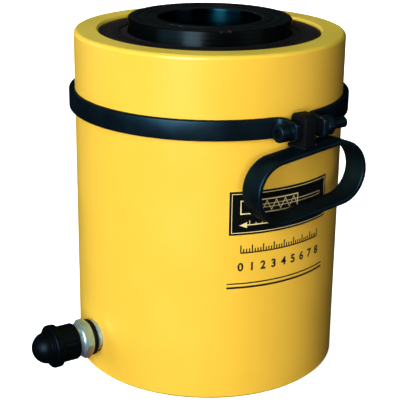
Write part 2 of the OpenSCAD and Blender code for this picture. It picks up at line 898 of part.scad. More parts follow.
// Split spring washer
module lock_washer() {
    color("dimgray")
        on_bolt(head_seat)
            difference() {
                cylinder(d = lock_d, h = lock_t);
                translate([0, 0, -cut]) cylinder(d = bolt_d + 2 * free_gap, h = lock_t + 2 * cut);
                translate([0, -lock_split / 2, -cut]) cube([lock_d, lock_split, lock_t + 2 * cut]);
            }
}

// Bush that keeps the ears apart and that the handle turns on
module pivot_bush() {
    color("silver")
        on_bolt(-ear_gap / 2)
            difference() {
                cylinder(d = bush_d, h = ear_gap);
                translate([0, 0, -cut]) cylinder(d = bolt_d + 2 * free_gap, h = ear_gap + 2 * cut);
            }
}

// Puts a shape drawn round the origin, facing -Y, at the loop's place and lie
module at_loop() {
    translate([0, -loop_r, loop_z])
        rotate([-loop_tilt, 0, 0])
            rotate([0, -loop_skew, 0]) children();
}

// Side of the knuckle as the bolt runs through it, its top towards -X
module knuckle_outline() {
    hull() {
        for (side = [-1, 1])
            translate([knuckle_round - knuckle_rise, side * (knuckle_half - knuckle_round)])
                circle(r = knuckle_round);
        translate([0, -knuckle_half]) square([band_z - knuckle_foot, 2 * knuckle_half]);
    }
}

// Knuckle that hangs on the bush and is welded to the top of the loop
module handle_knuckle() {
    color("dimgray")
        difference() {
            on_bolt(-ear_gap / 2 + knuckle_play) linear_extrude(knuckle_w) knuckle_outline();
            on_bolt(-ear_gap / 2)
                cylinder(d = bush_d + 2 * slide_gap, h = ear_gap);
            at_loop()
                translate([0, 0, -loop_height / 2])
                    cube([loop_length, 2 * loop_length, 2 * loop_height], center = true);
        }
}

// Flat bar bent into a loop with round ends
module handle_loop() {
    color("dimgray")
        at_loop()
            rotate([90, 0, 0])
                translate([0, 0, -loop_bar_w / 2])
                    linear_extrude(loop_bar_w)
                        difference() {
                            long_round(loop_length, loop_height);
                            long_round(loop_length - 2 * loop_bar_t, loop_height - 2 * loop_bar_t);
                        }
}

// Oblong with half-round ends
module long_round(length, height) {
    straight = length - height;
    square([straight, height], center = true);
    for (side = [-1, 1])
        translate([side * straight / 2, 0]) circle(d = height);
}

// Blank plate fixed to the front of the barrel
module name_plate() {
    color("black")
        rotate([0, 0, -90 - plate_angle / 2])
            rotate_extrude(angle = plate_angle)
                translate([barrel_r + seat_gap, plate_z]) square([plate_t, plate_h]);
}

cylinder_body();
center_tube();
tube_o_ring();
gland_ring();
gland_bearing();
rod_wiper();
plunger();
saddle();
piston_wear_ring();
piston_u_cup();
piston_backup_ring();
tube_wear_ring();
tube_u_cup();
tube_backup_ring();
return_spring();
port_nipple();
port_seal();
coupler_body();
valve_stop();
valve_spring();
coupler_valve();
mouth_seal();
dust_cap();
clamp_band();
clamp_bolt();
clamp_nut();
flat_washer();
lock_washer();
pivot_bush();
handle_knuckle();
handle_loop();
name_plate();
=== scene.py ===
# Hollow plunger cylinder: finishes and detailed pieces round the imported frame.
# Metres, +Z up. The lifting handle faces -Y and the oil coupler points along -X.
import math

import bmesh
import bpy
from mathutils import Matrix, Vector


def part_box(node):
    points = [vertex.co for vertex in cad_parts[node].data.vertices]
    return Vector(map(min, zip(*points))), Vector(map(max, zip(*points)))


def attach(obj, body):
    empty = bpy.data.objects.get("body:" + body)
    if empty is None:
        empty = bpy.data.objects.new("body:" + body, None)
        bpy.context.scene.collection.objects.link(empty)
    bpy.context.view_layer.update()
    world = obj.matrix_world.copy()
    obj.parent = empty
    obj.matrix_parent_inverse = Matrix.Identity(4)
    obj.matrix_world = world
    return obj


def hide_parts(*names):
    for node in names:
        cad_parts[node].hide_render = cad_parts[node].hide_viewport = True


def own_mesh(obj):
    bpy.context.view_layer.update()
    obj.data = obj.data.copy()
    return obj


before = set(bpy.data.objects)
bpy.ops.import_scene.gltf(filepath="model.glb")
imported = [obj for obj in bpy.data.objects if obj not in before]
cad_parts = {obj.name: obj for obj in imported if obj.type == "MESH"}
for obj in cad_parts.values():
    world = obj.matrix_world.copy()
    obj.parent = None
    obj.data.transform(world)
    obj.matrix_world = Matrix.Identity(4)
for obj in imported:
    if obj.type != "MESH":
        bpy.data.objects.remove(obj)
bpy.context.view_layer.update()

MM = 0.001
TAU = 2 * math.pi
X_AXIS, Y_AXIS, Z_AXIS = Vector((1, 0, 0)), Vector((0, 1, 0)), Vector((0, 0, 1))

# Camera, as the photograph shows the barrel's rim, foot and handle
VIEW_AZIMUTH = math.radians(-33.3)
VIEW_DISTANCE = 0.8848
VIEW_HEIGHT = 0.4336
VIEW_PITCH = math.radians(19.21)
VIEW_YAW = math.radians(-0.383)
VIEW_ROLL = math.radians(0.739)
LENS = 102.5
SENSOR = 36

# Sizes that the frame gives
barrel_low, barrel_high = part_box("cylinder_body")
BARREL_R = barrel_high.x
BARREL_H = barrel_high.z
gland_low, gland_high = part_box("gland_ring")
wiper_low, wiper_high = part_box("rod_wiper")
plunger_low, plunger_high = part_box("plunger")
saddle_low, saddle_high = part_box("saddle")
tube_low, tube_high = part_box("center_tube")
bearing_low, bearing_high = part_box("gland_bearing")
cap_low, cap_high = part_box("dust_cap")
band_low, band_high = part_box("clamp_band")
plate_low, plate_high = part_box("name_plate")
PORT_Z = (cap_low.z + cap_high.z) / 2
BAND_Z = (band_low.z + band_high.z) / 2

# Plunger, saddle and centre tube
STEM_R = 64 * MM
STEM_BORE_R = 47.5 * MM
SADDLE_BORE_R = 40 * MM
SPIGOT_R = 52 * MM
SADDLE_T = 8 * MM
TUBE_R = 46 * MM
ROD_HOLE_R = 39.5 * MM
SEAT_GAP = 0.05 * MM
FREE_GAP = 0.35 * MM

# Clamp band and handle, in the clamp's own frame where -Y points out
CLAMP_TURN = math.radians(2.2)
BAND_T = 4.6 * MM
BAND_R = BARREL_R + SEAT_GAP
EAR_GAP = 21.5 * MM
BEND_R = 6 * MM
EAR_CORNER = 3.5 * MM
BEND_X = EAR_GAP / 2 + BAND_T + BEND_R
BEND_Y = -math.sqrt((BAND_R + BAND_T + BEND_R) ** 2 - BEND_X ** 2)
BOLT_R = 4 * MM
NUT_R = 6.5 * MM
PIVOT_R = -BEND_Y + NUT_R + SEAT_GAP
EAR_END = PIVOT_R + NUT_R + 0.3 * MM
FLAT_T = 1.6 * MM
LOCK_T = 2 * MM
LOOP_LENGTH = 97 * MM
LOOP_HEIGHT = 48.4 * MM
LOOP_BAR_T = 3.2 * MM
LOOP_BAR_W = 20.4 * MM
LOOP_R = 128 * MM
LOOP_Z = 179 * MM
LOOP_SKEW = math.radians(7.8)
LOOP_TILT = math.radians(2.2)
KNUCKLE_HALF = 8.5 * MM
KNUCKLE_RISE = 11.8 * MM
KNUCKLE_ROUND = 4.5 * MM
KNUCKLE_W = 10.4 * MM
KNUCKLE_PLAY = 2.6 * MM
KNUCKLE_START = -EAR_GAP / 2 + KNUCKLE_PLAY

# Oil coupler and its cap, as stations and radii on the port's axis
SPOT_S = 104.9 * MM
COLLAR_R = 12.4 * MM
COLLAR_H = 4.4 * MM
NECK_R = 8 * MM
PORT_SEAL_R = 14.5 * MM
PORT_SEAL_T = 3.6 * MM
HEX_H = 6.8 * MM
SHOULDER_H = 4.8 * MM
SHOULDER_R = 12.7 * MM
NOSE_R = 11.2 * MM
NOSE_H = 18.4 * MM
HEX_IN_R = 13.75 * MM
HEX_CORNER_R = HEX_IN_R / math.cos(math.pi / 6)


def link(obj):
    bpy.context.scene.collection.objects.link(obj)
    return obj


def new_mesh_object(name, bm):
    mesh = bpy.data.meshes.new(name)
    bm.to_mesh(mesh)
    bm.free()
    return link(bpy.data.objects.new(name, mesh))


# Mesh helpers

SAME_POINT = 0.001 * MM
ON_AXIS = 0.0001 * MM
FINE_BREAK = 0.3 * MM
THIN_FACE = 1.0 * MM
EDGE_TURN = math.radians(8)
FLAT_TURN = math.radians(0.5)
OVERRUN = 1 * MM
BARREL_STEPS = 144
SMALL_STEPS = 96
BOLT_STEPS = 64


def half_section(points, size):
    """A wire through (radius, height) points, rounded by size or by a point's own third value."""
    bm = bmesh.new()
    verts, rounds = [], []
    for radius, height, *own in points:
        verts.append(bm.verts.new((radius, 0, height)))
        rounds.append(own[0] if own else size if radius > ON_AXIS else 0)
    bm.faces.new(verts)
    for offset in sorted(set(rounds) - {0}):
        corners = [v for v, own in zip(verts, rounds) if own == offset]
        bmesh.ops.bevel(
            bm, geom=corners, offset=offset, offset_type="OFFSET", segments=3, profile=0.5,
            affect="VERTICES", material=-1, clamp_overlap=True)
    bmesh.ops.delete(bm, geom=list(bm.faces), context="FACES_ONLY")
    axis_edges = [e for e in bm.edges if max(v.co.x for v in e.verts) < ON_AXIS]
    bmesh.ops.delete(bm, geom=axis_edges, context="EDGES")
    return bm


def turned(points, size=0, steps=BARREL_STEPS):
    """A solid turned round +Z from its closed half section."""
    bm = half_section(points, size)
    bmesh.ops.spin(
        bm, geom=list(bm.verts) + list(bm.edges), cent=(0, 0, 0), axis=Z_AXIS,
        angle=TAU, steps=steps, use_merge=True, use_duplicate=False)
    bmesh.ops.remove_doubles(bm, verts=bm.verts, dist=SAME_POINT)
    bmesh.ops.recalc_face_normals(bm, faces=bm.faces)
    return bm


def prism(sides, radius, low, high):
    """An upright prism on +Z with that many sides."""
    bm = bmesh.new()
    bmesh.ops.create_circle(bm, cap_ends=True, segments=sides, radius=radius)
    bmesh.ops.translate(bm, verts=bm.verts, vec=(0, 0, low))
    made = bmesh.ops.extrude_face_region(bm, geom=list(bm.faces))
    top = [v for v in made["geom"] if isinstance(v, bmesh.types.BMVert)]
    bmesh.ops.translate(bm, verts=top, vec=(0, 0, high - low))
    bmesh.ops.recalc_face_normals(bm, faces=bm.faces)
    return bm


def combined(kind, bm, tool):
    """bm joined, cut or crossed with tool by an exact boolean. Both are used up."""
    body, cutter = new_mesh_object("shape", bm), new_mesh_object("tool", tool)
    step = body.modifiers.new("step", "BOOLEAN")
    step.operation, step.object, step.solver = kind, cutter, "EXACT"
    bpy.context.view_layer.update()
    depsgraph = bpy.context.evaluated_depsgraph_get()
    result = bmesh.new()
    result.from_object(body, depsgraph)
    for obj in (body, cutter):
        mesh = obj.data
        bpy.data.objects.remove(obj)
        bpy.data.meshes.remove(mesh)
    bmesh.ops.remove_doubles(result, verts=result.verts, dist=SAME_POINT)
    bmesh.ops.dissolve_limit(
        result, angle_limit=FLAT_TURN, verts=result.verts, edges=result.edges)
    return result


def break_edges(bm, size, angle=40, segments=3, only=None):
    """Rounds every edge sharper than angle, or those that only picks."""
    sharp = [
        e for e in bm.edges
        if len(e.link_faces) == 2 and e.calc_face_angle(0) > math.radians(angle)
        and (only is None or only(e))]
    bmesh.ops.bevel(
        bm, geom=sharp, offset=size, offset_type="OFFSET", segments=segments, profile=0.5,
        affect="EDGES", material=-1, clamp_overlap=True)


def sweep_start(bm, corners):
    """A closed loop of edges through the corners of a section."""
    verts = [bm.verts.new(c) for c in corners]
    edges = [bm.edges.new((a, b)) for a, b in zip(verts, verts[1:] + verts[:1])]
    return verts + edges


def sweep_round(bm, loop, centre, axis, angle, steps):
    """Carries the loop round an axis and returns the loop at the far end."""
    return bmesh.ops.spin(
        bm, geom=loop, cent=centre, axis=axis, angle=angle, steps=steps,
        use_merge=False, use_duplicate=False)["geom_last"]


def sweep_straight(bm, loop, move):
    """Carries the loop along a move and returns the loop at the far end."""
    edges = [e for e in loop if isinstance(e, bmesh.types.BMEdge)]
    made = bmesh.ops.extrude_edge_only(bm, edges=edges)["geom"]
    far = [v for v in made if isinstance(v, bmesh.types.BMVert)]
    bmesh.ops.translate(bm, verts=far, vec=move)
    return [g for g in made if not isinstance(g, bmesh.types.BMFace)]


def close_up(bm):
    """Merges doubles, fills open ends and turns the faces outwards."""
    bmesh.ops.remove_doubles(bm, verts=bm.verts, dist=SAME_POINT)
    bmesh.ops.holes_fill(bm, edges=[e for e in bm.edges if e.is_boundary], sides=0)
    bmesh.ops.recalc_face_normals(bm, faces=bm.faces)


def mark_edges(bm):
    """Writes the attribute edge: 1 on the thin faces of rounded edges, 0 elsewhere."""
    layer = bm.faces.layers.float.new("edge")
    for face in bm.faces:
        longest = max(e.calc_length() for e in face.edges)
        thin = face.calc_area() < THIN_FACE * longest
        turns = any(
            len(e.link_faces) == 2 and e.calc_face_angle(0) > EDGE_TURN for e in face.edges)
        face[layer] = 1.0 if thin and turns else 0.0


def piece(name, bm, material, body, nodes=(), sharp=34):
    """Turns bm into a finished piece of the object, in one material or several."""
    bmesh.ops.recalc_face_normals(bm, faces=bm.faces)
    mark_edges(bm)
    obj = new_mesh_object(name, bm)
    obj.data.polygons.foreach_set("use_smooth", [True] * len(obj.data.polygons))
    obj.data.set_sharp_from_angle(angle=math.radians(sharp))
    for own in material if isinstance(material, tuple) else (material,):
        obj.data.materials.append(own)
    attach(obj, body)
    if nodes:
        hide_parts(*nodes)
    return obj


# Node helpers

def join(tree, value, entry):
    """Gives an input its value: an output is linked to it, anything else is set on it."""
    if isinstance(value, bpy.types.NodeSocket):
        tree.links.new(value, entry)
    else:
        entry.default_value = value


def add_node(tree, kind, **values):
    """A node whose properties are set, and whose inputs are set or linked, by name."""
    node = tree.nodes.new(kind)
    for key, value in values.items():
        if hasattr(node, key):
            setattr(node, key, value)
        else:
            join(tree, value, node.inputs[key.replace("_", " ")])
    return node


def maths(tree, operation, *operands):
    node = add_node(tree, "ShaderNodeMath", operation=operation)
    for entry, value in zip(node.inputs, operands):
        join(tree, value, entry)
    return node.outputs[0]


def noise(tree, place, scale, detail=2.0, roughness=0.5):
    node = add_node(
        tree, "ShaderNodeTexNoise", Vector=place, Scale=scale, Detail=detail, Roughness=roughness)
    return node.outputs["Fac"]


def spread(tree, value, low, high, to_low=0.0, to_high=1.0):
    """value from low to high stretched over to_low to to_high, smooth and clamped."""
    node = add_node(
        tree, "ShaderNodeMapRange", interpolation_type="SMOOTHSTEP", Value=value,
        From_Min=low, From_Max=high, To_Min=to_low, To_Max=to_high)
    return node.outputs["Result"]


def mixed(tree, factor, a, b):
    """Colour a at factor 0 and b at factor 1, each an output or a plain (red, green, blue)."""
    node = add_node(tree, "ShaderNodeMix", data_type="RGBA", Factor=factor)
    entries = [s for s in node.inputs if s.type == "RGBA"]
    for entry, value in zip(entries, (a, b)):
        join(tree, (*value, 1) if isinstance(value, tuple) else value, entry)
    return [s for s in node.outputs if s.type == "RGBA"][0]


# Shared effects, as node groups

class Group:
    """A shader node group whose inputs and outputs are plain values."""

    def __init__(self, name, outputs, **inputs):
        self.tree = bpy.data.node_groups.new(name, "ShaderNodeTree")
        for label, default in inputs.items():
            made = self.tree.interface.new_socket(
                name=label, in_out="INPUT", socket_type="NodeSocketFloat")
            made.default_value = default
        for label in outputs:
            self.tree.interface.new_socket(
                name=label, in_out="OUTPUT", socket_type="NodeSocketFloat")
        self.inputs = self.tree.nodes.new("NodeGroupInput").outputs
        self.outputs = self.tree.nodes.new("NodeGroupOutput").inputs
        self.place = self.tree.nodes.new("ShaderNodeTexCoord").outputs["Object"]

    def give(self, label, output):
        self.tree.links.new(output, self.outputs[label])


def make_relief():
    """Fine lumps of a sprayed or moulded skin, with slower waves under them."""
    group = Group("skin_relief", ("Height", "Tone"), Scale=400.0, Waves=0.3)
    tree, scale = group.tree, group.inputs["Scale"]
    fine = noise(tree, group.place, scale, 3.0, 0.55)
    slow = noise(tree, group.place, maths(tree, "MULTIPLY", scale, 0.06))
    waves = maths(tree, "MULTIPLY", slow, group.inputs["Waves"])
    group.give("Height", maths(tree, "ADD", fine, waves))
    group.give("Tone", slow)
    return tree


def make_edge_wear():
    """Specks and rubbed lines on rounded edges, and a few stray marks beside them."""
    group = Group("edge_wear", ("Mask",), Amount=0.4, Scale=350.0, Stray=0.1)
    tree, scale = group.tree, group.inputs["Scale"]
    edge = add_node(tree, "ShaderNodeAttribute", attribute_name="edge").outputs["Fac"]
    patch_share, speck_share = 0.6, 0.4
    unworn, gain, soft = 0.72, 0.3, 0.06
    patch = noise(tree, group.place, maths(tree, "MULTIPLY", scale, 0.12), 3.0)
    speck = noise(tree, group.place, scale, 4.0, 0.65)
    both = maths(
        tree, "MULTIPLY_ADD", patch, patch_share, maths(tree, "MULTIPLY", speck, speck_share))
    gained = maths(tree, "MULTIPLY", group.inputs["Amount"], gain)
    start = maths(tree, "SUBTRACT", unworn, gained)
    worn = spread(tree, both, start, maths(tree, "ADD", start, soft))
    on_edge = maths(tree, "MULTIPLY", worn, edge)
    stray = spread(tree, speck, unworn, unworn + soft)
    stray = maths(tree, "MULTIPLY", stray, group.inputs["Stray"])
    group.give("Mask", maths(tree, "MAXIMUM", on_edge, stray))
    return tree


def make_tool_marks():
    """Rings that a lathe tool leaves round Z on faces, and lines round Z on sides."""
    group = Group("tool_marks", ("Height", "Tone"), Pitch=2500.0)
    tree, pitch = group.tree, group.inputs["Pitch"]
    parts = add_node(tree, "ShaderNodeSeparateXYZ", Vector=group.place).outputs
    flat = add_node(tree, "ShaderNodeCombineXYZ", X=parts["X"], Y=parts["Y"]).outputs[0]
    radius = add_node(
        tree, "ShaderNodeVectorMath", operation="LENGTH", Vector=flat).outputs["Value"]
    section = add_node(tree, "ShaderNodeCombineXYZ", X=radius, Z=parts["Z"]).outputs[0]
    group.give("Height", noise(tree, section, pitch))
    group.give("Tone", noise(tree, section, maths(tree, "MULTIPLY", pitch, 0.08)))
    return tree


def make_dust():
    """Dust that settles on level faces, thickest where a slow noise is high."""
    group = Group("dust", ("Mask",), Amount=0.2)
    tree = group.tree
    normal = tree.nodes.new("ShaderNodeNewGeometry").outputs["Normal"]
    up = add_node(tree, "ShaderNodeSeparateXYZ", Vector=normal).outputs["Z"]
    level = spread(tree, up, 0.55, 0.95)
    grain = spread(tree, noise(tree, group.place, 900.0, 3.0, 0.7), 0.4, 0.75)
    drift = spread(tree, noise(tree, group.place, 45.0), 0.3, 0.7)
    mask = maths(tree, "MULTIPLY", maths(tree, "MULTIPLY", grain, drift), level)
    group.give("Mask", maths(tree, "MULTIPLY", mask, group.inputs["Amount"]))
    return tree


RELIEF = make_relief()
EDGE_WEAR = make_edge_wear()
TOOL_MARKS = make_tool_marks()
DUST = make_dust()


# Finishes

class Finish:
    """A material with its Principled shader, and the effects that feed it."""

    def __init__(self, name, **values):
        self.material = bpy.data.materials.new(name)
        self.material.use_nodes = True
        self.tree = self.material.node_tree
        self.shader = self.tree.nodes["Principled BSDF"]
        for key, value in values.items():
            self.shader.inputs[key.replace("_", " ")].default_value = value

    def group(self, tree, **values):
        return add_node(self.tree, "ShaderNodeGroup", node_tree=tree, **values).outputs

    def feed(self, label, output):
        self.tree.links.new(output, self.shader.inputs[label])

    def bump(self, height, strength, distance):
        node = add_node(
            self.tree, "ShaderNodeBump", Height=height, Strength=strength, Distance=distance)
        self.feed("Normal", node.outputs["Normal"])

    def uneven_roughness(self, tone, low, high, roughness, share):
        """Roughness that drifts with the tone by a share of itself."""
        self.feed("Roughness", spread(
            self.tree, tone, low, high, roughness * (1 - share), roughness * (1 + share)))


DUST_ON_PAINT = (0.45, 0.45, 0.45)
DUST_ON_METAL = (0.3, 0.3, 0.3)


def painted(name, colour, dark, worn, roughness, lump, wear, stray, bump, dust, **values):
    """Sprayed enamel: uneven tone, lumps in the film, rubbed edges and a little dust."""
    finish = Finish(name, **values)
    tree = finish.tree
    relief = finish.group(RELIEF, Scale=lump)
    mask = finish.group(EDGE_WEAR, Amount=wear, Stray=stray)["Mask"]
    film = mixed(tree, spread(tree, relief["Tone"], 0.3, 0.7), dark, colour)
    film = mixed(tree, finish.group(DUST, Amount=dust)["Mask"], film, DUST_ON_PAINT)
    finish.feed("Base Color", mixed(tree, mask, film, worn))
    gloss = spread(tree, relief["Tone"], 0.25, 0.75, roughness * 0.85, roughness * 1.15)
    finish.feed("Roughness", maths(tree, "ADD", gloss, maths(tree, "MULTIPLY", mask, 0.15)))
    finish.bump(relief["Height"], bump, 0.05 * MM)
    return finish.material


def machined(name, colour, dark, roughness, pitch, bump, wear, worn, dust=0.0, **values):
    """Turned metal: tool marks, uneven tone and bright rubbed edges, which on the black steels
    stand partly for painted edge highlights.
    """
    finish = Finish(name, **values)
    tree = finish.tree
    marks = finish.group(TOOL_MARKS, Pitch=pitch)
    mask = finish.group(EDGE_WEAR, Amount=wear, Stray=0.0)["Mask"]
    tone = mixed(tree, spread(tree, marks["Tone"], 0.3, 0.7), dark, colour)
    tone = mixed(tree, finish.group(DUST, Amount=dust)["Mask"], tone, DUST_ON_METAL)
    finish.feed("Base Color", mixed(tree, mask, tone, worn))
    finish.uneven_roughness(marks["Tone"], 0.25, 0.75, roughness, 0.2)
    finish.bump(marks["Height"], bump, 0.02 * MM)
    return finish.material


def moulded(name, colour, light, roughness, lump, bump, **values):
    """Rubber or plastic: fine grain, and a paler bloom in patches."""
    finish = Finish(name, **values)
    tree = finish.tree
    relief = finish.group(RELIEF, Scale=lump)
    finish.feed("Base Color", mixed(tree, spread(tree, relief["Tone"], 0.45, 0.8), colour, light))
    finish.uneven_roughness(relief["Tone"], 0.3, 0.7, roughness, -0.1)
    finish.bump(relief["Height"], bump, 0.04 * MM)
    return finish.material


def zinc(name, light, middle, dark, roughness, metallic, bump):
    """Chromated zinc: bright metal with slow tints, and a painted reflection in the dark colour on
    its underside.
    """
    finish = Finish(name, Metallic=metallic)
    tree = finish.tree
    place = tree.nodes.new("ShaderNodeTexCoord").outputs["Object"]
    relief = finish.group(RELIEF, Scale=900.0)
    drift = noise(tree, place, 120.0)
    height = add_node(tree, "ShaderNodeSeparateXYZ", Vector=place).outputs["Z"]
    # Painted reflection: the dark colour takes over from 4 mm above the port's axis down to 12 mm
    # below it.
    reflection_start_z, reflection_full_z = PORT_Z + 4 * MM, PORT_Z - 12 * MM
    low = spread(tree, height, reflection_start_z, reflection_full_z)
    tint = mixed(tree, spread(tree, drift, 0.35, 0.65), light, middle)
    finish.feed("Base Color", mixed(tree, low, tint, dark))
    finish.uneven_roughness(relief["Tone"], 0.3, 0.7, roughness, 0.15)
    finish.bump(relief["Height"], bump, 0.01 * MM)
    return finish.material


YELLOW_PAINT = painted(
    "yellow_enamel", (0.88, 0.560, 0.074), (0.86, 0.545, 0.068), worn=(0.70, 0.40, 0.07),
    roughness=0.36, lump=420.0, wear=0.15, stray=0.0, bump=0.16, dust=0.03,
    Coat_Weight=0.3, Coat_Roughness=0.3, Specular_IOR_Level=0.3)
HANDLE_PAINT = painted(
    "blue_black_enamel", (0.021, 0.044, 0.064), (0.015, 0.034, 0.052), worn=(0.17, 0.16, 0.13),
    roughness=0.36, lump=700.0, wear=0.30, stray=0.02, bump=0.30, dust=0.0,
    Metallic=0.84, Specular_Tint=(0.2, 0.26, 0.3, 1), Specular_IOR_Level=0.2)
# Darker, duller copy of the handle's enamel for the knuckle, bush and weld: painted shade, as they
# sit in shadow under the clamp.
SHADED_HANDLE_PAINT = painted(
    "handle_enamel_painted_shade", (0.0045, 0.0052, 0.008), (0.0035, 0.004, 0.0065),
    worn=(0.04, 0.04, 0.04), roughness=0.6, lump=700.0, wear=0.15, stray=0.02, bump=0.30,
    dust=0.0, Specular_IOR_Level=0.12)
LATHE_GLOSS = dict(Anisotropic=0.75, Anisotropic_Rotation=0.25)
# On the black oxide and the stem, the rubbed edges are brighter and wider than wear alone would
# make them: partly painted highlights along the turned edges.
BLACK_STEEL = machined(
    "black_oxide", (0.024, 0.025, 0.026), (0.016, 0.017, 0.018), worn=(0.20, 0.22, 0.24),
    roughness=0.34, pitch=2600.0, bump=0.2, wear=0.36, dust=0.05,
    Metallic=0.5, Specular_Tint=(0.3, 0.3, 0.3, 1), Specular_IOR_Level=0.1, **LATHE_GLOSS)
STEM_STEEL = machined(
    "black_stem", (0.014, 0.019, 0.022), (0.010, 0.014, 0.017), worn=(0.20, 0.22, 0.24),
    roughness=0.30, pitch=3200.0, bump=0.1, wear=0.4, dust=0.03,
    Metallic=0.88, Specular_Tint=(0.2, 0.2, 0.2, 1), Specular_IOR_Level=0.1, **LATHE_GLOSS)
GLAND_STEEL = machined(
    "dull_oxide", (0.024, 0.015, 0.017), (0.018, 0.011, 0.013), worn=(0.09, 0.10, 0.10),
    roughness=0.6, pitch=2600.0, bump=0.2, wear=0.2, dust=0.03, Specular_IOR_Level=0.15)
BRIGHT_STEEL = machined(
    "ground_steel", (0.56, 0.56, 0.55), (0.42, 0.42, 0.42), worn=(0.7, 0.7, 0.7),
    roughness=0.28, pitch=3000.0, bump=0.2, wear=0.3, Metallic=1.0)
# Blued steel whose teal tint is set as a painted teal glint down the rod hole, on the centre tube
# and the saddle's bore.
TEAL_GLINT_BORE = machined(
    "blued_bore_painted_glint", (0.004, 0.034, 0.052), (0.003, 0.026, 0.040), worn=(0.06, 0.09, 0.10),
    roughness=0.26, pitch=3000.0, bump=0.2, wear=0.3,
    Metallic=1.0, Specular_Tint=(0.3, 0.4, 0.5, 1), **LATHE_GLOSS)
SPRING_STEEL = machined(
    "oiled_spring", (0.11, 0.11, 0.12), (0.06, 0.06, 0.07), worn=(0.3, 0.3, 0.3),
    roughness=0.36, pitch=1500.0, bump=0.2, wear=0.3, Metallic=1.0)
# Each zinc's third colour is a painted reflection on its underside: warm brown of the yellow barrel
# and floor on the hexagon and nipple, blue on the shoulder.
ZINC = zinc(
    "zinc_chromate", (0.36, 0.46, 0.36), (0.42, 0.46, 0.32), (0.46, 0.31, 0.28),
    roughness=0.36, metallic=0.6, bump=0.06)
# Paler, bluer copy of the zinc for the coupler's shoulder and nose: a painted highlight on the same
# plating as the hexagon.
SHOULDER_GLINT_ZINC = zinc(
    "zinc_painted_glint", (0.50, 0.68, 0.80), (0.56, 0.72, 0.83), (0.50, 0.62, 0.76),
    roughness=0.38, metallic=0.8, bump=0.0)
PALE_ZINC = zinc(
    "pale_zinc", (0.36, 0.52, 0.66), (0.56, 0.68, 0.74), (0.30, 0.18, 0.10),
    roughness=0.24, metallic=0.5, bump=0.03)
SEAL_RUBBER = moulded(
    "seal_rubber", (0.004, 0.004, 0.005), (0.006, 0.006, 0.007),
    roughness=0.6, lump=900.0, bump=0.3, Specular_IOR_Level=0.12)
WIPER_RUBBER = moulded(
    "wiper_rubber", (0.020, 0.0135, 0.015), (0.025, 0.017, 0.019),
    roughness=0.6, lump=900.0, bump=0.2, Specular_IOR_Level=0.15)
CAP_RUBBER = moulded(
    "cap_rubber", (0.008, 0.0125, 0.0165), (0.010, 0.016, 0.021),
    roughness=0.36, lump=800.0, bump=0.3,
    Metallic=0.8, Specular_Tint=(0.1, 0.14, 0.18, 1), Specular_IOR_Level=0.1)
BACKUP_PLASTIC = moulded(
    "backup_plastic", (0.62, 0.58, 0.48), (0.7, 0.66, 0.56), roughness=0.4, lump=600.0, bump=0.2)
BEARING_PLASTIC = moulded(
    "bearing_plastic", (0.30, 0.10, 0.03), (0.4, 0.15, 0.05), roughness=0.5, lump=500.0, bump=0.3)
PLATE_FILM = moulded(
    "plate_film", (0.003, 0.003, 0.003), (0.005, 0.005, 0.005),
    roughness=0.35, lump=600.0, bump=0.1)
CREAM_INK = moulded(
    "cream_ink", (0.82, 0.70, 0.36), (0.86, 0.74, 0.40), roughness=0.5, lump=900.0, bump=0.1)
BLACK_INK = moulded(
    "black_ink", (0.004, 0.003, 0.002), (0.007, 0.005, 0.004), roughness=0.6, lump=900.0, bump=0.1)


def finish_nodes(material, *names):
    """Gives CAD nodes that stay shown their material."""
    for name in names:
        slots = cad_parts[name].data.materials
        slots.clear()
        slots.append(material)


finish_nodes(YELLOW_PAINT, "cylinder_body")
finish_nodes(SEAL_RUBBER, "tube_o_ring", "piston_u_cup", "tube_u_cup", "mouth_seal")
finish_nodes(BACKUP_PLASTIC, "piston_backup_ring", "tube_backup_ring")
finish_nodes(BEARING_PLASTIC, "gland_bearing", "piston_wear_ring", "tube_wear_ring")
finish_nodes(BRIGHT_STEEL, "valve_stop", "coupler_valve")
finish_nodes(PLATE_FILM, "name_plate")


# Springs, copied from their nodes as pieces of their own

def make_spring(node):
    """A copy of the node's mesh, as a piece in spring steel that hides the node."""
    bm = bmesh.new()
    bm.from_mesh(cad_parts[node].data)
    bmesh.ops.remove_doubles(bm, verts=bm.verts, dist=SAME_POINT)
    spring = piece(node + "_wound", bm, SPRING_STEEL, "barrel", [node], sharp=60)
    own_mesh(spring)


make_spring("return_spring")
make_spring("valve_spring")


# Turned pieces on the barrel's axis

def make_gland_ring():
    rim_break = 0.8 * MM
    inner = STEM_R + FREE_GAP
    bearing_r = bearing_high.x + SEAT_GAP
    wiper_r, wiper_foot = wiper_high.x + SEAT_GAP, wiper_low.z - SEAT_GAP
    bm = turned([
        (inner, gland_low.z, FINE_BREAK), (gland_high.x, gland_low.z, FINE_BREAK),
        (gland_high.x, gland_high.z, rim_break), (wiper_r, gland_high.z, FINE_BREAK),
        (wiper_r, wiper_foot), (inner, wiper_foot, FINE_BREAK), (inner, bearing_high.z),
        (bearing_r, bearing_high.z), (bearing_r, bearing_low.z), (inner, bearing_low.z)])
    piece("gland_ring_turned", bm, GLAND_STEEL, "barrel", ["gland_ring"])


def make_wiper():
    """Flat ring whose inner lip stands up round the stem."""
    inner, outer = STEM_R + SEAT_GAP, wiper_high.x
    lip, skin_break = 0.8 * MM, 0.2 * MM
    step = wiper_high.z - lip
    bm = turned([
        (inner, wiper_low.z), (outer, wiper_low.z), (outer, step), ((inner + outer) / 2, step),
        (inner + lip, wiper_high.z), (inner, wiper_high.z)], skin_break)
    piece("wiper_turned", bm, WIPER_RUBBER, "barrel", ["rod_wiper"])


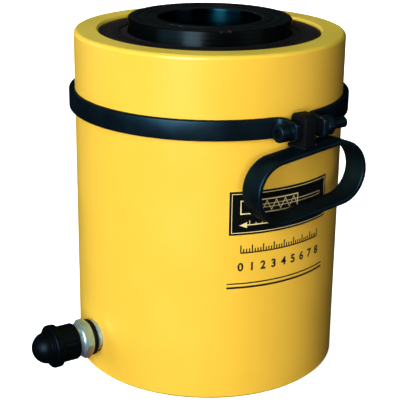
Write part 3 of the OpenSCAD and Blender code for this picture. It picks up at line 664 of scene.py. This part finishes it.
def make_plunger():
    """Stem and piston head with the grooves that hold the seals and the wear rings."""
    foot, top = plunger_low.z, plunger_high.z
    head_r, chamber_r = plunger_high.x, 80 * MM
    chamfer_w, chamfer_h = 6 * MM, 9 * MM
    cup_lift, cup_h, cup_t = 10 * MM, 13 * MM, 7 * MM
    wear_lift, wear_h, wear_t = 5 * MM, 12 * MM, 3 * MM
    head_rise, bore_step = 10.35 * MM, 5 * MM
    rim_break, seat_break = 1.4 * MM, 0.5 * MM
    cup_foot = foot + cup_lift
    cup_top = cup_foot + cup_h
    wear_foot = cup_top + wear_lift
    wear_top = wear_foot + wear_h
    head_top = wear_top + head_rise
    bore_top = head_top - bore_step
    cup_r, wear_r = chamber_r - cup_t, chamber_r - wear_t
    tube_side, tube_cup_r, tube_wear_r = TUBE_R + FREE_GAP, TUBE_R + cup_t, TUBE_R + wear_t
    seat_r, seat_z = saddle_high.x + SEAT_GAP, top - SADDLE_T
    spigot_r, spigot_z = SPIGOT_R + SEAT_GAP, saddle_low.z
    bm = turned([
        (tube_side, foot), (head_r - chamfer_w, foot), (head_r, foot + chamfer_h),
        (head_r, cup_foot), (cup_r, cup_foot), (cup_r, cup_top), (head_r, cup_top),
        (head_r, wear_foot), (wear_r, wear_foot), (wear_r, wear_top), (head_r, wear_top),
        (head_r, head_top, FINE_BREAK), (STEM_R, head_top, FINE_BREAK), (STEM_R, top, rim_break),
        (seat_r, top, seat_break), (seat_r, seat_z), (spigot_r, seat_z), (spigot_r, spigot_z),
        (STEM_BORE_R, spigot_z), (STEM_BORE_R, bore_top), (tube_side, bore_top),
        (tube_side, wear_top), (tube_wear_r, wear_top), (tube_wear_r, wear_foot),
        (tube_side, wear_foot), (tube_side, cup_top), (tube_cup_r, cup_top),
        (tube_cup_r, cup_foot), (tube_side, cup_foot)])
    skin, level = 0.4 * MM, 0.8
    for face in bm.faces:
        on_top = face.calc_center_median().z > top - skin and abs(face.normal.z) > level
        face.material_index = 1 if on_top else 0
    piece("plunger_turned", bm, (STEM_STEEL, BLACK_STEEL), "plunger", ["plunger"])


def make_saddle():
    """Screwed-in ring with a chamfered rod hole and a fine groove round it."""
    foot, top = saddle_low.z, saddle_high.z
    edge = saddle_high.x
    chamfer, rim_break, groove_break = 1.5 * MM, 0.6 * MM, 0.25 * MM
    groove_inset, groove_w, groove_t = 6 * MM, 1.2 * MM, 0.6 * MM
    groove_r, groove_foot = edge - groove_inset, top - groove_t
    bm = turned([
        (SADDLE_BORE_R, foot, FINE_BREAK), (SPIGOT_R, foot, FINE_BREAK), (SPIGOT_R, top - SADDLE_T),
        (edge, top - SADDLE_T, FINE_BREAK), (edge, top, rim_break), (groove_r, top, groove_break),
        (groove_r, groove_foot), (groove_r - groove_w, groove_foot),
        (groove_r - groove_w, top, groove_break), (SADDLE_BORE_R + chamfer, top, rim_break),
        (SADDLE_BORE_R, top - chamfer, rim_break)])
    # The bore's faces take the teal steel: a painted glint on the same part as the black face.
    bore_reach = SADDLE_BORE_R + chamfer / 3
    for face in bm.faces:
        middle = face.calc_center_median()
        face.material_index = 1 if math.hypot(middle.x, middle.y) < bore_reach else 0
    piece("saddle_turned", bm, (BLACK_STEEL, TEAL_GLINT_BORE), "plunger", ["saddle"])


def make_tube():
    shoulder_top, shoulder_h = 24 * MM, 10 * MM
    shoulder_foot = shoulder_top - shoulder_h
    lead_break, rim_break = 0.8 * MM, 0.5 * MM
    bm = turned([
        (ROD_HOLE_R, tube_low.z, FINE_BREAK), (TUBE_R, tube_low.z, FINE_BREAK),
        (TUBE_R, shoulder_foot), (tube_high.x, shoulder_foot, FINE_BREAK),
        (tube_high.x, shoulder_top, FINE_BREAK), (TUBE_R, shoulder_top),
        (TUBE_R, tube_high.z, lead_break), (ROD_HOLE_R, tube_high.z, rim_break)])
    piece("tube_turned", bm, TEAL_GLINT_BORE, "barrel", ["center_tube"])


make_gland_ring()
make_wiper()
make_plunger()
make_saddle()
make_tube()


# Oil coupler and its cap, drawn along +Z and laid along the port

def along_port(bm, station):
    """Lays a shape drawn along +Z on the port's axis, its zero at station out from the axis."""
    lay = Matrix.Translation((-station, 0, PORT_Z)) @ Matrix.Rotation(-math.pi / 2, 4, "Y")
    bmesh.ops.transform(bm, verts=bm.verts, matrix=lay)
    return bm


def turned_corners(in_r, corner_r, height, steps):
    """The solid that turns down the corners of a hexagon when the two are crossed."""
    drop = (corner_r - in_r) / 2
    reach, fall = corner_r + OVERRUN, drop + OVERRUN / 2
    return turned([
        (0, 0), (in_r, 0), (reach, fall), (reach, height - fall), (in_r, height), (0, height)],
        0, steps)


def make_nipple():
    thread_r, thread_h = 8.45 * MM, 16 * MM
    bore_r, neck_h = 3 * MM, 8.8 * MM
    lead_break, back_break, face_break, neck_break = 1 * MM, 0.4 * MM, 1.2 * MM, 0.5 * MM
    neck_top = COLLAR_H + neck_h
    bm = turned([
        (bore_r, -thread_h, FINE_BREAK), (thread_r, -thread_h, lead_break), (thread_r, 0),
        (COLLAR_R, 0, back_break), (COLLAR_R, COLLAR_H, face_break), (NECK_R, COLLAR_H),
        (NECK_R, neck_top, neck_break), (bore_r, neck_top, FINE_BREAK)], 0, SMALL_STEPS)
    along_port(bm, SPOT_S)
    piece("nipple_turned", bm, PALE_ZINC, "barrel", ["port_nipple"])


def make_port_seal():
    inner, thick = NECK_R + SEAT_GAP, PORT_SEAL_T - 2 * SEAT_GAP
    edge_round = 1.2 * MM
    bm = turned([
        (inner, 0), (PORT_SEAL_R, 0, edge_round), (PORT_SEAL_R, thick, edge_round), (inner, thick)],
        0, SMALL_STEPS)
    along_port(bm, SPOT_S + COLLAR_H + SEAT_GAP)
    piece("port_seal_moulded", bm, SEAL_RUBBER, "barrel", ["port_seal"])


def make_coupler():
    """Hexagon with turned-down corners, tapered shoulder and nose with its valve bore."""
    hexagon = combined(
        "INTERSECT", prism(6, HEX_CORNER_R, 0, HEX_H),
        turned_corners(HEX_IN_R, HEX_CORNER_R, HEX_H, SMALL_STEPS))
    edge_break = 0.35 * MM
    break_edges(hexagon, edge_break, 25, 2)
    socket_r, socket_h, socket_play = 8.05 * MM, 5.25 * MM, 0.01 * MM
    hexagon = combined(
        "DIFFERENCE", hexagon,
        prism(SMALL_STEPS, socket_r - socket_play, -OVERRUN, HEX_H + OVERRUN))
    overlap, inset, taper_w = 0.2 * MM, 0.1 * MM, 0.15 * MM
    land_h, taper_h = 0.6 * MM, 1.7 * MM
    land_break, taper_break, shoulder_break = 0.4 * MM, 0.5 * MM, 0.6 * MM
    nose_break, mouth_break = 1 * MM, 0.3 * MM
    bore_r, mouth_r, seal_r, seal_t = 6.5 * MM, 4 * MM, 6.05 * MM, 2.45 * MM
    seat_z, seat_h = 23.2 * MM, 2.5 * MM
    core_foot, land_r = HEX_H - overlap, HEX_IN_R - inset
    cap_z = HEX_H + SHOULDER_H
    nose_z = cap_z + NOSE_H
    seal_z = nose_z - seal_t
    core = turned([
        (socket_r, 0), (SHOULDER_R, 0), (SHOULDER_R, core_foot), (land_r, core_foot),
        (land_r, HEX_H + land_h, land_break), (SHOULDER_R + taper_w, HEX_H + taper_h, taper_break),
        (SHOULDER_R, cap_z, shoulder_break), (NOSE_R, cap_z), (NOSE_R, nose_z, nose_break),
        (seal_r, nose_z, mouth_break), (seal_r, seal_z), (mouth_r, seal_z),
        (mouth_r, seat_z + seat_h), (bore_r, seat_z), (bore_r, socket_h), (socket_r, socket_h)],
        0, SMALL_STEPS)
    bm = combined("UNION", hexagon, core)
    hex_skin = 0.05 * MM
    # Faces above the hexagon take the paler zinc, as a painted highlight on the shoulder.
    for face in bm.faces:
        face.material_index = 1 if face.calc_center_median().z > HEX_H + hex_skin else 0
    along_port(bm, SPOT_S + COLLAR_H + PORT_SEAL_T)
    piece("coupler_turned", bm, (ZINC, SHOULDER_GLINT_ZINC), "barrel", ["coupler_body"], 30)


def make_cap():
    """Push-on rubber cap: ribbed skirt, grip flange, small ridge and domed end."""
    bore_r = NOSE_R + 0.3 * MM
    skirt_r, skirt_h = 14.5 * MM, 14.4 * MM
    flange_r, flange_h = cap_high.y, 7 * MM
    ridge_r, ridge_h = 13.1 * MM, 2.4 * MM
    dome_r, dome_steps = 12.6 * MM, 14
    ribs, rib_depth = 16, 0.7 * MM
    rib_inset, rib_stop, rib_play, rib_sharpness = 1.6 * MM, 1.4 * MM, 0.1 * MM, 4
    mouth_break, skirt_break, flange_root, flange_break = 0.4 * MM, 0.8 * MM, 2 * MM, 1.6 * MM
    root_break, ridge_break, dome_root, bore_break = 0.5 * MM, 0.3 * MM, 0.2 * MM, 0.5 * MM
    rib_foot, rib_top = rib_inset, skirt_h - rib_stop
    flange_z = skirt_h + flange_h
    dome_z = flange_z + ridge_h / 2
    start = math.asin(ridge_h / 2 / dome_r)
    turns = [start + (math.pi / 2 - start) * k / dome_steps for k in range(dome_steps)]
    dome = [(dome_r * math.cos(a), dome_z + dome_r * math.sin(a)) for a in turns]
    dome[0] = (*dome[0], dome_root)
    bm = turned([
        (bore_r, 0, mouth_break), (skirt_r, 0, skirt_break), (skirt_r, rib_foot),
        (skirt_r, rib_top), (skirt_r, skirt_h, skirt_break), (flange_r, skirt_h, flange_root),
        (flange_r, flange_z, flange_break), (ridge_r, flange_z, root_break),
        (ridge_r, flange_z + ridge_h, ridge_break), *dome, (0, dome_z + dome_r), (0, NOSE_H),
        (bore_r, NOSE_H, bore_break)], 0, 160)
    for v in bm.verts:
        on_skirt = abs(math.hypot(v.co.x, v.co.y) - skirt_r) < rib_play / 2
        if on_skirt and rib_foot - rib_play < v.co.z < rib_top + rib_play:
            wave = 0.5 + 0.5 * math.cos(ribs * math.atan2(v.co.y, v.co.x))
            shrink = 1 - rib_depth / skirt_r * wave ** rib_sharpness
            v.co.x *= shrink
            v.co.y *= shrink
    along_port(bm, -cap_high.x)
    piece("cap_moulded", bm, CAP_RUBBER, "dust_cap", ["dust_cap"], 50)


make_nipple()
make_port_seal()
make_coupler()
make_cap()


# Clamp band, bolt and handle

def on_clamp(bm):
    """Turns a shape from the clamp's own frame to its place round the barrel."""
    bmesh.ops.rotate(
        bm, verts=bm.verts, cent=(0, 0, 0), matrix=Matrix.Rotation(CLAMP_TURN, 3, "Z"))
    return bm


def along_bolt(bm, start):
    """Lays a shape drawn along +Z on the bolt's axis, its zero at start from the middle."""
    lay = Matrix.Translation((start, -PIVOT_R, BAND_Z)) @ Matrix.Rotation(math.pi / 2, 4, "Y")
    bmesh.ops.transform(bm, verts=bm.verts, matrix=lay)
    return on_clamp(bm)


def clamp_piece(name, bm, start, node, finish=HANDLE_PAINT):
    """A piece on the bolt's axis that stays with the barrel."""
    piece(name, along_bolt(bm, start), finish, "barrel", [node])


def make_band():
    """Strap swept from one ear round the barrel to the other."""
    turn = math.atan2(BEND_X, -BEND_Y)
    bend = math.pi / 2 - turn
    near, far = -EAR_GAP / 2, -EAR_GAP / 2 - BAND_T
    low, high = band_low.z, band_high.z
    bm = bmesh.new()
    loop = sweep_start(bm, [
        (near, -EAR_END, low), (far, -EAR_END, low), (far, -EAR_END, high), (near, -EAR_END, high)])
    ear = Vector((0, EAR_END + BEND_Y, 0))
    loop = sweep_straight(bm, loop, ear)
    loop = sweep_round(bm, loop, (-BEND_X, BEND_Y, 0), Z_AXIS, bend, 12)
    loop = sweep_round(bm, loop, (0, 0, 0), Z_AXIS, -(TAU - 2 * turn), 150)
    loop = sweep_round(bm, loop, (BEND_X, BEND_Y, 0), Z_AXIS, bend, 12)
    sweep_straight(bm, loop, -ear)
    close_up(bm)
    end = -EAR_END + SAME_POINT

    def ear_corner(e):
        """An edge across the thickness of the strap, at an ear's end."""
        a, b = (v.co for v in e.verts)
        level = abs(a.z - b.z) < SAME_POINT
        return level and max(a.y, b.y) < end and abs(a.x - b.x) > BAND_T / 2

    strap_break = 0.8 * MM
    break_edges(bm, EAR_CORNER, 40, 6, ear_corner)
    break_edges(bm, strap_break)
    piece("band_bent", on_clamp(bm), HANDLE_PAINT, "barrel", ["clamp_band"])


def make_bolt():
    """Socket head bolt, its head outside the near ear."""
    head_r, head_h = 6.5 * MM, 8 * MM
    length, tip = 55 * MM, 1 * MM
    socket_r, socket_depth = 3 * MM / math.cos(math.pi / 6), 4 * MM
    head_break, seat_break = 0.9 * MM, 0.3 * MM
    shank = turned([
        (0, -head_h), (head_r, -head_h, head_break), (head_r, 0, seat_break), (BOLT_R, 0),
        (BOLT_R, length - tip), (BOLT_R - tip, length), (0, length)], 0, BOLT_STEPS)
    socket_tool = prism(6, socket_r, -head_h - OVERRUN, -head_h + socket_depth)
    bm = combined("DIFFERENCE", shank, socket_tool)
    clamp_piece("bolt_turned", bm, -(EAR_GAP / 2 + BAND_T + FLAT_T + LOCK_T), "clamp_bolt")


def make_nut():
    height, edge_break = 6.5 * MM, 0.25 * MM
    corner_r = NUT_R / math.cos(math.pi / 6)
    bm = combined(
        "INTERSECT", prism(6, corner_r, 0, height),
        turned_corners(NUT_R, corner_r, height, BOLT_STEPS))
    bm = combined("DIFFERENCE", bm, prism(48, BOLT_R + SEAT_GAP, -OVERRUN, height + OVERRUN))
    break_edges(bm, edge_break, 25, 2)
    clamp_piece("nut_cut", bm, EAR_GAP / 2 + BAND_T, "clamp_nut")


def make_washers():
    """Flat washer on the near ear and a split one between it and the bolt's head."""
    lock_r, hole_r = 6.35 * MM, BOLT_R + FREE_GAP
    split = math.radians(14)
    flat_break, lock_break = 0.3 * MM, 0.25 * MM
    face = -EAR_GAP / 2 - BAND_T
    flat = turned(
        [(hole_r, 0), (NUT_R, 0), (NUT_R, FLAT_T), (hole_r, FLAT_T)], flat_break, BOLT_STEPS)
    clamp_piece("flat_washer_stamped", flat, face - FLAT_T, "flat_washer")
    bm = bmesh.new()
    loop = sweep_start(bm, [
        (hole_r, 0, 0), (lock_r, 0, 0), (lock_r, 0, LOCK_T), (hole_r, 0, LOCK_T)])
    sweep_round(bm, loop, (0, 0, 0), Z_AXIS, TAU - split, 60)
    close_up(bm)
    break_edges(bm, lock_break, 40, 2)
    clamp_piece("lock_washer_split", bm, face - FLAT_T - LOCK_T, "lock_washer")


def make_bush():
    bush_r, edge_break = 6 * MM, 0.4 * MM
    bore_r = BOLT_R + FREE_GAP
    bm = turned(
        [(bore_r, 0), (bush_r, 0), (bush_r, EAR_GAP), (bore_r, EAR_GAP)], edge_break, BOLT_STEPS)
    # The bush takes the darker copy of the enamel: painted shade between the ears.
    clamp_piece("bush_turned", bm, -EAR_GAP / 2, "pivot_bush", SHADED_HANDLE_PAINT)


LOOP_LIE = (
    Matrix.Translation((0, -LOOP_R, LOOP_Z)) @ Matrix.Rotation(-LOOP_TILT, 4, "X")
    @ Matrix.Rotation(-LOOP_SKEW, 4, "Y"))
LOOP_TOP = LOOP_LIE @ Vector((0, 0, LOOP_HEIGHT / 2))
LOOP_UP = (LOOP_LIE.to_3x3() @ Z_AXIS).normalized()


def make_loop():
    """Flat bar swept into an oblong loop."""
    half = (LOOP_LENGTH - LOOP_HEIGHT) / 2
    top = LOOP_HEIGHT / 2
    side = LOOP_BAR_W / 2
    bar_break = 0.9 * MM
    bm = bmesh.new()
    loop = sweep_start(bm, [
        (half, -side, top - LOOP_BAR_T), (half, side, top - LOOP_BAR_T),
        (half, side, top), (half, -side, top)])
    loop = sweep_round(bm, loop, (half, 0, 0), Y_AXIS, math.pi, 40)
    loop = sweep_straight(bm, loop, (-2 * half, 0, 0))
    loop = sweep_round(bm, loop, (-half, 0, 0), Y_AXIS, math.pi, 40)
    sweep_straight(bm, loop, (2 * half, 0, 0))
    bmesh.ops.remove_doubles(bm, verts=bm.verts, dist=SAME_POINT)
    bmesh.ops.recalc_face_normals(bm, faces=bm.faces)
    break_edges(bm, bar_break)
    bmesh.ops.transform(bm, verts=bm.verts, matrix=LOOP_LIE)
    piece("loop_bent", bm, HANDLE_PAINT, "handle", ["handle_loop"])


def make_knuckle():
    """Block with round top corners on the bush, cut to the lie of the loop under it."""
    edge_break = 0.9 * MM
    reach = KNUCKLE_RISE + LOOP_HEIGHT
    bm = bmesh.new()
    bmesh.ops.create_cube(bm, size=1)
    bmesh.ops.scale(bm, verts=bm.verts, vec=(reach, 2 * KNUCKLE_HALF, KNUCKLE_W))
    bmesh.ops.translate(bm, verts=bm.verts, vec=(reach / 2 - KNUCKLE_RISE, 0, KNUCKLE_W / 2))

    def top_corner(e):
        a, b = (v.co for v in e.verts)
        return abs(a.z - b.z) > KNUCKLE_W / 2 and max(a.x, b.x) < 0

    break_edges(bm, KNUCKLE_ROUND, 40, 8, top_corner)
    along_bolt(bm, KNUCKLE_START)
    bmesh.ops.bisect_plane(
        bm, geom=list(bm.verts) + list(bm.edges) + list(bm.faces), plane_co=LOOP_TOP,
        plane_no=-LOOP_UP, clear_outer=True)
    close_up(bm)
    break_edges(bm, edge_break)
    piece("knuckle_cut", bm, SHADED_HANDLE_PAINT, "handle", ["handle_knuckle"])


def make_weld():
    """Beads of overlapping drops at both sides of the knuckle's foot, on top of the loop."""
    drop_r, lap, unevenness, wave = 1.5 * MM, 0.3, 0.12, 9
    turn = Matrix.Rotation(CLAMP_TURN, 4, "Z")
    front = -PIVOT_R - KNUCKLE_HALF
    length = 2 * KNUCKLE_HALF
    steps = round(length / (2 * drop_r * lap))
    bm = bmesh.new()
    for side in (KNUCKLE_START, KNUCKLE_START + KNUCKLE_W):
        for k in range(steps + 1):
            flat = turn @ Vector((side, front + length * k / steps, 0))
            rise = LOOP_UP.dot(LOOP_TOP - flat) / LOOP_UP.z
            wide = drop_r * (1 + unevenness * math.sin(wave * k))
            shape = Matrix.Translation((flat.x, flat.y, rise)) @ Matrix.Diagonal(
                (wide, drop_r, wide, 1))
            bmesh.ops.create_uvsphere(bm, u_segments=12, v_segments=8, radius=1, matrix=shape)
    piece("handle_weld", bm, SHADED_HANDLE_PAINT, "handle", sharp=80)


make_band()
make_bolt()
make_nut()
make_washers()
make_bush()
make_loop()
make_knuckle()
make_weld()


# Printing: a plain scale and two rules on the barrel, a symbol and a border on the plate

INK_T = 0.08 * MM
INK_LIFT = 0.01 * MM
PAINT_R = BARREL_R + INK_LIFT
PLATE_R = -plate_low.y + INK_LIFT
PLATE_HALF = math.radians(24.5) * PAINT_R
PLATE_Z = (plate_low.z + plate_high.z) / 2
PLATE_HALF_H = (plate_high.z - plate_low.z) / 2


def ink_bar(bm, start, end, width):
    """A flat straight stroke from start to end, in the printing's own X and Y."""
    start, end = Vector(start), Vector(end)
    run = end - start
    middle = (start + end) / 2
    lay = (
        Matrix.Translation((*middle, 0)) @ Matrix.Rotation(math.atan2(run.y, run.x), 4, "Z")
        @ Matrix.Diagonal((run.length, width, 1, 1)))
    bmesh.ops.create_grid(bm, x_segments=1, y_segments=1, size=0.5, matrix=lay)


def ink_path(bm, points, width):
    """Strokes through the points, each one half a width longer at both ends."""
    for start, end in zip(points, points[1:]):
        along = (Vector(end) - Vector(start)).normalized() * width / 2
        ink_bar(bm, Vector(start) - along, Vector(end) + along, width)


def ink_frame(bm, half_x, half_y, width, centre=(0, 0)):
    x, y = centre
    ink_path(bm, [
        (x - half_x, y - half_y), (x + half_x, y - half_y), (x + half_x, y + half_y),
        (x - half_x, y + half_y), (x - half_x, y - half_y)], width)


def ink_head(bm, tip, length, half):
    """A filled arrow head at tip, pointing along +X for a positive length."""
    x, y = tip
    corners = [(x, y, 0), (x - length, y + half, 0), (x - length, y - half, 0)]
    bm.faces.new([bm.verts.new(c) for c in corners])


def ink_text(bm, words, at, height):
    """Upright figures with their middle at a place, as flat faces."""
    capital_share, bold_share = 0.72, 0.035
    curve = bpy.data.curves.new("figures", "FONT")
    curve.body, curve.size = words, height / capital_share
    curve.align_x, curve.align_y = "CENTER", "CENTER"
    curve.offset = height * bold_share
    curve.resolution_u = 4
    obj = link(bpy.data.objects.new("figures", curve))
    mesh = bpy.data.meshes.new_from_object(obj)
    mesh.transform(Matrix.Translation((*at, 0)))
    bm.from_mesh(mesh)
    bpy.data.objects.remove(obj)
    bpy.data.curves.remove(curve)
    bpy.data.meshes.remove(mesh)


def wrap_ink(bm, radius, middle_z):
    """Gives flat printing its thickness and lays it round the barrel about -Y."""
    strip, touch = 2 * MM, 0.0001 * MM
    bmesh.ops.remove_doubles(bm, verts=bm.verts, dist=touch)
    bmesh.ops.recalc_face_normals(bm, faces=bm.faces)
    cuts = int(max(abs(v.co.x) for v in bm.verts) / strip)
    for k in range(-cuts, cuts + 1):
        geometry = list(bm.verts) + list(bm.edges) + list(bm.faces)
        bmesh.ops.bisect_plane(
            bm, geom=geometry, dist=touch, plane_co=(k * strip, 0, 0), plane_no=X_AXIS)
    made = bmesh.ops.extrude_face_region(bm, geom=list(bm.faces))
    top = [v for v in made["geom"] if isinstance(v, bmesh.types.BMVert)]
    bmesh.ops.translate(bm, verts=top, vec=(0, 0, INK_T))
    for v in bm.verts:
        turn, reach = v.co.x / radius, radius + v.co.z
        v.co = (math.sin(turn) * reach, -math.cos(turn) * reach, middle_z + v.co.y)
    bmesh.ops.recalc_face_normals(bm, faces=bm.faces)
    return bm


def ink_ticks(bm, count, first, step, row, width, major, long, short):
    """A row of upright ticks, every major one long, and the places of the long ones."""
    places = []
    for k in range(count):
        x = first + k * step
        if k % major == 0:
            places.append(x)
        ink_bar(bm, (x, row), (x, row + (long if k % major == 0 else short)), width)
    return places


def make_plate_print():
    """Border, and the symbol of a single-acting cylinder with a return spring."""
    margin, thin, thick = 1.7 * MM, 0.55 * MM, 0.9 * MM
    bm = bmesh.new()
    ink_frame(bm, PLATE_HALF - margin, PLATE_HALF_H - margin, thin)
    body_x, body_half, body_half_h, row = -13 * MM, 24 * MM, 5 * MM, 4.6 * MM
    ink_frame(bm, body_half, body_half_h, thick, (body_x, row))
    piston_x, piston_half = body_x - 9 * MM, 0.8 * MM
    for x in (piston_x - piston_half, piston_x + piston_half):
        ink_bar(bm, (x, row - body_half_h), (x, row + body_half_h), thick)
    rod_end, rod_half = PLATE_HALF - 9 * MM, 1.2 * MM
    for y in (row + rod_half, row - rod_half):
        ink_bar(bm, (piston_x, y), (rod_end, y), thin)
    ink_bar(bm, (rod_end, row - rod_half), (rod_end, row + rod_half), thin)
    bends, spring_half, spring_x = 8, 3.8 * MM, piston_x + 1.5 * MM
    pitch = (body_x + body_half - spring_x) / bends
    ink_path(bm, [
        (spring_x + pitch * k, row + (spring_half if k % 2 else -spring_half))
        for k in range(bends + 1)], thin)
    foot, line_half, tip, head_l, head_half = -9.2 * MM, 34 * MM, 38 * MM, 6 * MM, 2.4 * MM
    ink_bar(bm, (-line_half, foot), (line_half, foot), thick)
    ink_head(bm, (tip, foot), head_l, head_half)
    ink_head(bm, (-tip, foot), -head_l, head_half)
    step, long, short = 5 * MM, 3.4 * MM, 1.8 * MM
    ink_ticks(bm, 13, -6 * step, step, foot, thin, 3, long, short)
    piece("plate_print", wrap_ink(bm, PLATE_R, PLATE_Z), CREAM_INK, "barrel")


def make_scale():
    """Ruled line with ticks, and plain figures under its long ticks."""
    line, half, step, per_figure = 0.95 * MM, 36 * MM, 2.25 * MM, 4
    row_z, figure_z, figure_h = 120 * MM, 108.5 * MM, 6.5 * MM
    long, short = 6 * MM, 3.2 * MM
    middle = (row_z + figure_z) / 2
    bm = bmesh.new()
    ink_bar(bm, (-half, row_z - middle), (half, row_z - middle), line)
    ticks = round(2 * half / step) + 1
    places = ink_ticks(bm, ticks, -half, step, row_z - middle, line, per_figure, long, short)
    for figure, x in enumerate(places):
        ink_text(bm, str(figure), (x, figure_z - middle), figure_h)
    piece("barrel_scale", wrap_ink(bm, PAINT_R, middle), BLACK_INK, "barrel")


def make_rules():
    """A thin and a thick rule below the scale."""
    left, right = math.radians(-25) * PAINT_R, math.radians(24.2) * PAINT_R
    thin_z, thick_z = 95.6 * MM, 92.4 * MM
    thin, thick = 0.95 * MM, 1.5 * MM
    bm = bmesh.new()
    ink_bar(bm, (left, thin_z - thick_z), (right, thin_z - thick_z), thin)
    ink_bar(bm, (left, 0), (right, 0), thick)
    piece("barrel_rules", wrap_ink(bm, PAINT_R, thick_z), BLACK_INK, "barrel")


make_plate_print()
make_scale()
make_rules()


# Studio: camera, lights, floor and white surround

def place_camera():
    camera = bpy.data.cameras.new("photo_camera")
    camera.lens, camera.sensor_width = LENS, SENSOR
    obj = link(bpy.data.objects.new("photo_camera", camera))
    stand = Matrix.Rotation(VIEW_AZIMUTH, 4, "Z") @ Matrix.Translation(
        (0, -VIEW_DISTANCE, VIEW_HEIGHT))
    aim = (
        Matrix.Rotation(-VIEW_YAW, 4, "Z") @ Matrix.Rotation(math.pi / 2 - VIEW_PITCH, 4, "X")
        @ Matrix.Rotation(VIEW_ROLL, 4, "Z"))
    obj.matrix_world = stand @ aim
    bpy.context.scene.camera = obj


def softbox(name, azimuth, elevation, distance, size, power, colour, gloss=True, matt=True):
    """A soft light, azimuth degrees to the right of the camera, aimed at the barrel's middle."""
    light = bpy.data.lights.new(name, "AREA")
    light.shape = "RECTANGLE"
    light.size, light.size_y = size
    light.energy, light.color = power, colour
    obj = link(bpy.data.objects.new(name, light))
    turn = VIEW_AZIMUTH + math.radians(azimuth)
    lift = math.radians(elevation)
    aim = Vector((0, 0, BARREL_H / 2))
    away = Vector((
        math.sin(turn) * math.cos(lift), -math.cos(turn) * math.cos(lift), math.sin(lift)))
    obj.location = aim + away * distance
    obj.rotation_euler = away.to_track_quat("Z", "Y").to_euler()
    obj.visible_glossy = gloss
    obj.visible_diffuse = matt


def light_studio():
    """A key with its card for gloss, cards that only gloss shows, and fills that gloss doesn't."""
    tall, broad, square, card = (1.3, 2.1), (2.6, 2.0), (1.6, 1.6), (1.4, 1.4)
    softbox("key", -23, 20, 3.2, tall, 95, (0.92, 0.98, 1.0))
    softbox("gloss_card", -23, 20, 3.2, tall, 120, (0.80, 0.96, 1.0), matt=False)
    softbox("wide_card", -52, 16, 3.2, broad, 34, (0.5, 0.88, 1.0), matt=False)
    softbox("side_card", 60, 24, 3.0, square, 8, (0.85, 0.95, 1.0), matt=False)
    softbox("front_fill", 2, 12, 3.2, (1.2, 1.2), 58, (1.0, 0.975, 0.97), gloss=False)
    softbox("left_fill", -112, 10, 2.4, square, 64, (0.70, 0.79, 1.0), gloss=False)
    softbox("right_fill", 75, -4, 2.6, card, 5, (1.0, 0.85, 0.8), gloss=False)
    softbox("top_fill", 0, 85, 2.4, card, 13, (0.2, 1.0, 0.75), gloss=False)
    softbox("warm_fill", 80, -12, 2.4, (1.0, 0.6), 8, (1.0, 0.42, 0.22), gloss=False)
    softbox("back_fill", 195, 30, 2.6, square, 42, (1.0, 1.0, 1.0), gloss=False)


def make_surround():
    """White for the camera, and nearly dark for everything else."""
    world = bpy.data.worlds.new("studio")
    bpy.context.scene.world = world
    world.use_nodes = True
    tree = world.node_tree
    shown = tree.nodes["Background"]
    shown.inputs["Color"].default_value = (1, 1, 1, 1)
    shown.inputs["Strength"].default_value = 1.0
    dim = add_node(tree, "ShaderNodeBackground", Color=(0.62, 0.78, 0.9, 1), Strength=0.03)
    path = add_node(tree, "ShaderNodeLightPath")
    mix = add_node(tree, "ShaderNodeMixShader")
    tree.links.new(path.outputs["Is Camera Ray"], mix.inputs[0])
    tree.links.new(dim.outputs[0], mix.inputs[1])
    tree.links.new(shown.outputs[0], mix.inputs[2])
    tree.links.new(mix.outputs[0], tree.nodes["World Output"].inputs["Surface"])


def make_floor():
    """Pale floor that throws nothing back on the object."""
    half_side, drop = 2.2, 0.1 * MM
    bm = bmesh.new()
    bmesh.ops.create_grid(bm, x_segments=1, y_segments=1, size=half_side)
    bmesh.ops.translate(bm, verts=bm.verts, vec=(0, 0, barrel_low.z - drop))
    floor = new_mesh_object("floor", bm)
    finish = Finish(
        "pale_floor", Base_Color=(0.82, 0.82, 0.82, 1), Roughness=0.9, Specular_IOR_Level=0.1,
        Emission_Color=(1, 1, 1, 1), Emission_Strength=0.75)
    floor.data.materials.append(finish.material)
    floor.visible_diffuse = False
    floor.visible_glossy = False


place_camera()
light_studio()
make_surround()
make_floor()
bpy.context.scene.view_settings.view_transform = "Standard"
bpy.context.scene.view_settings.gamma = 0.85
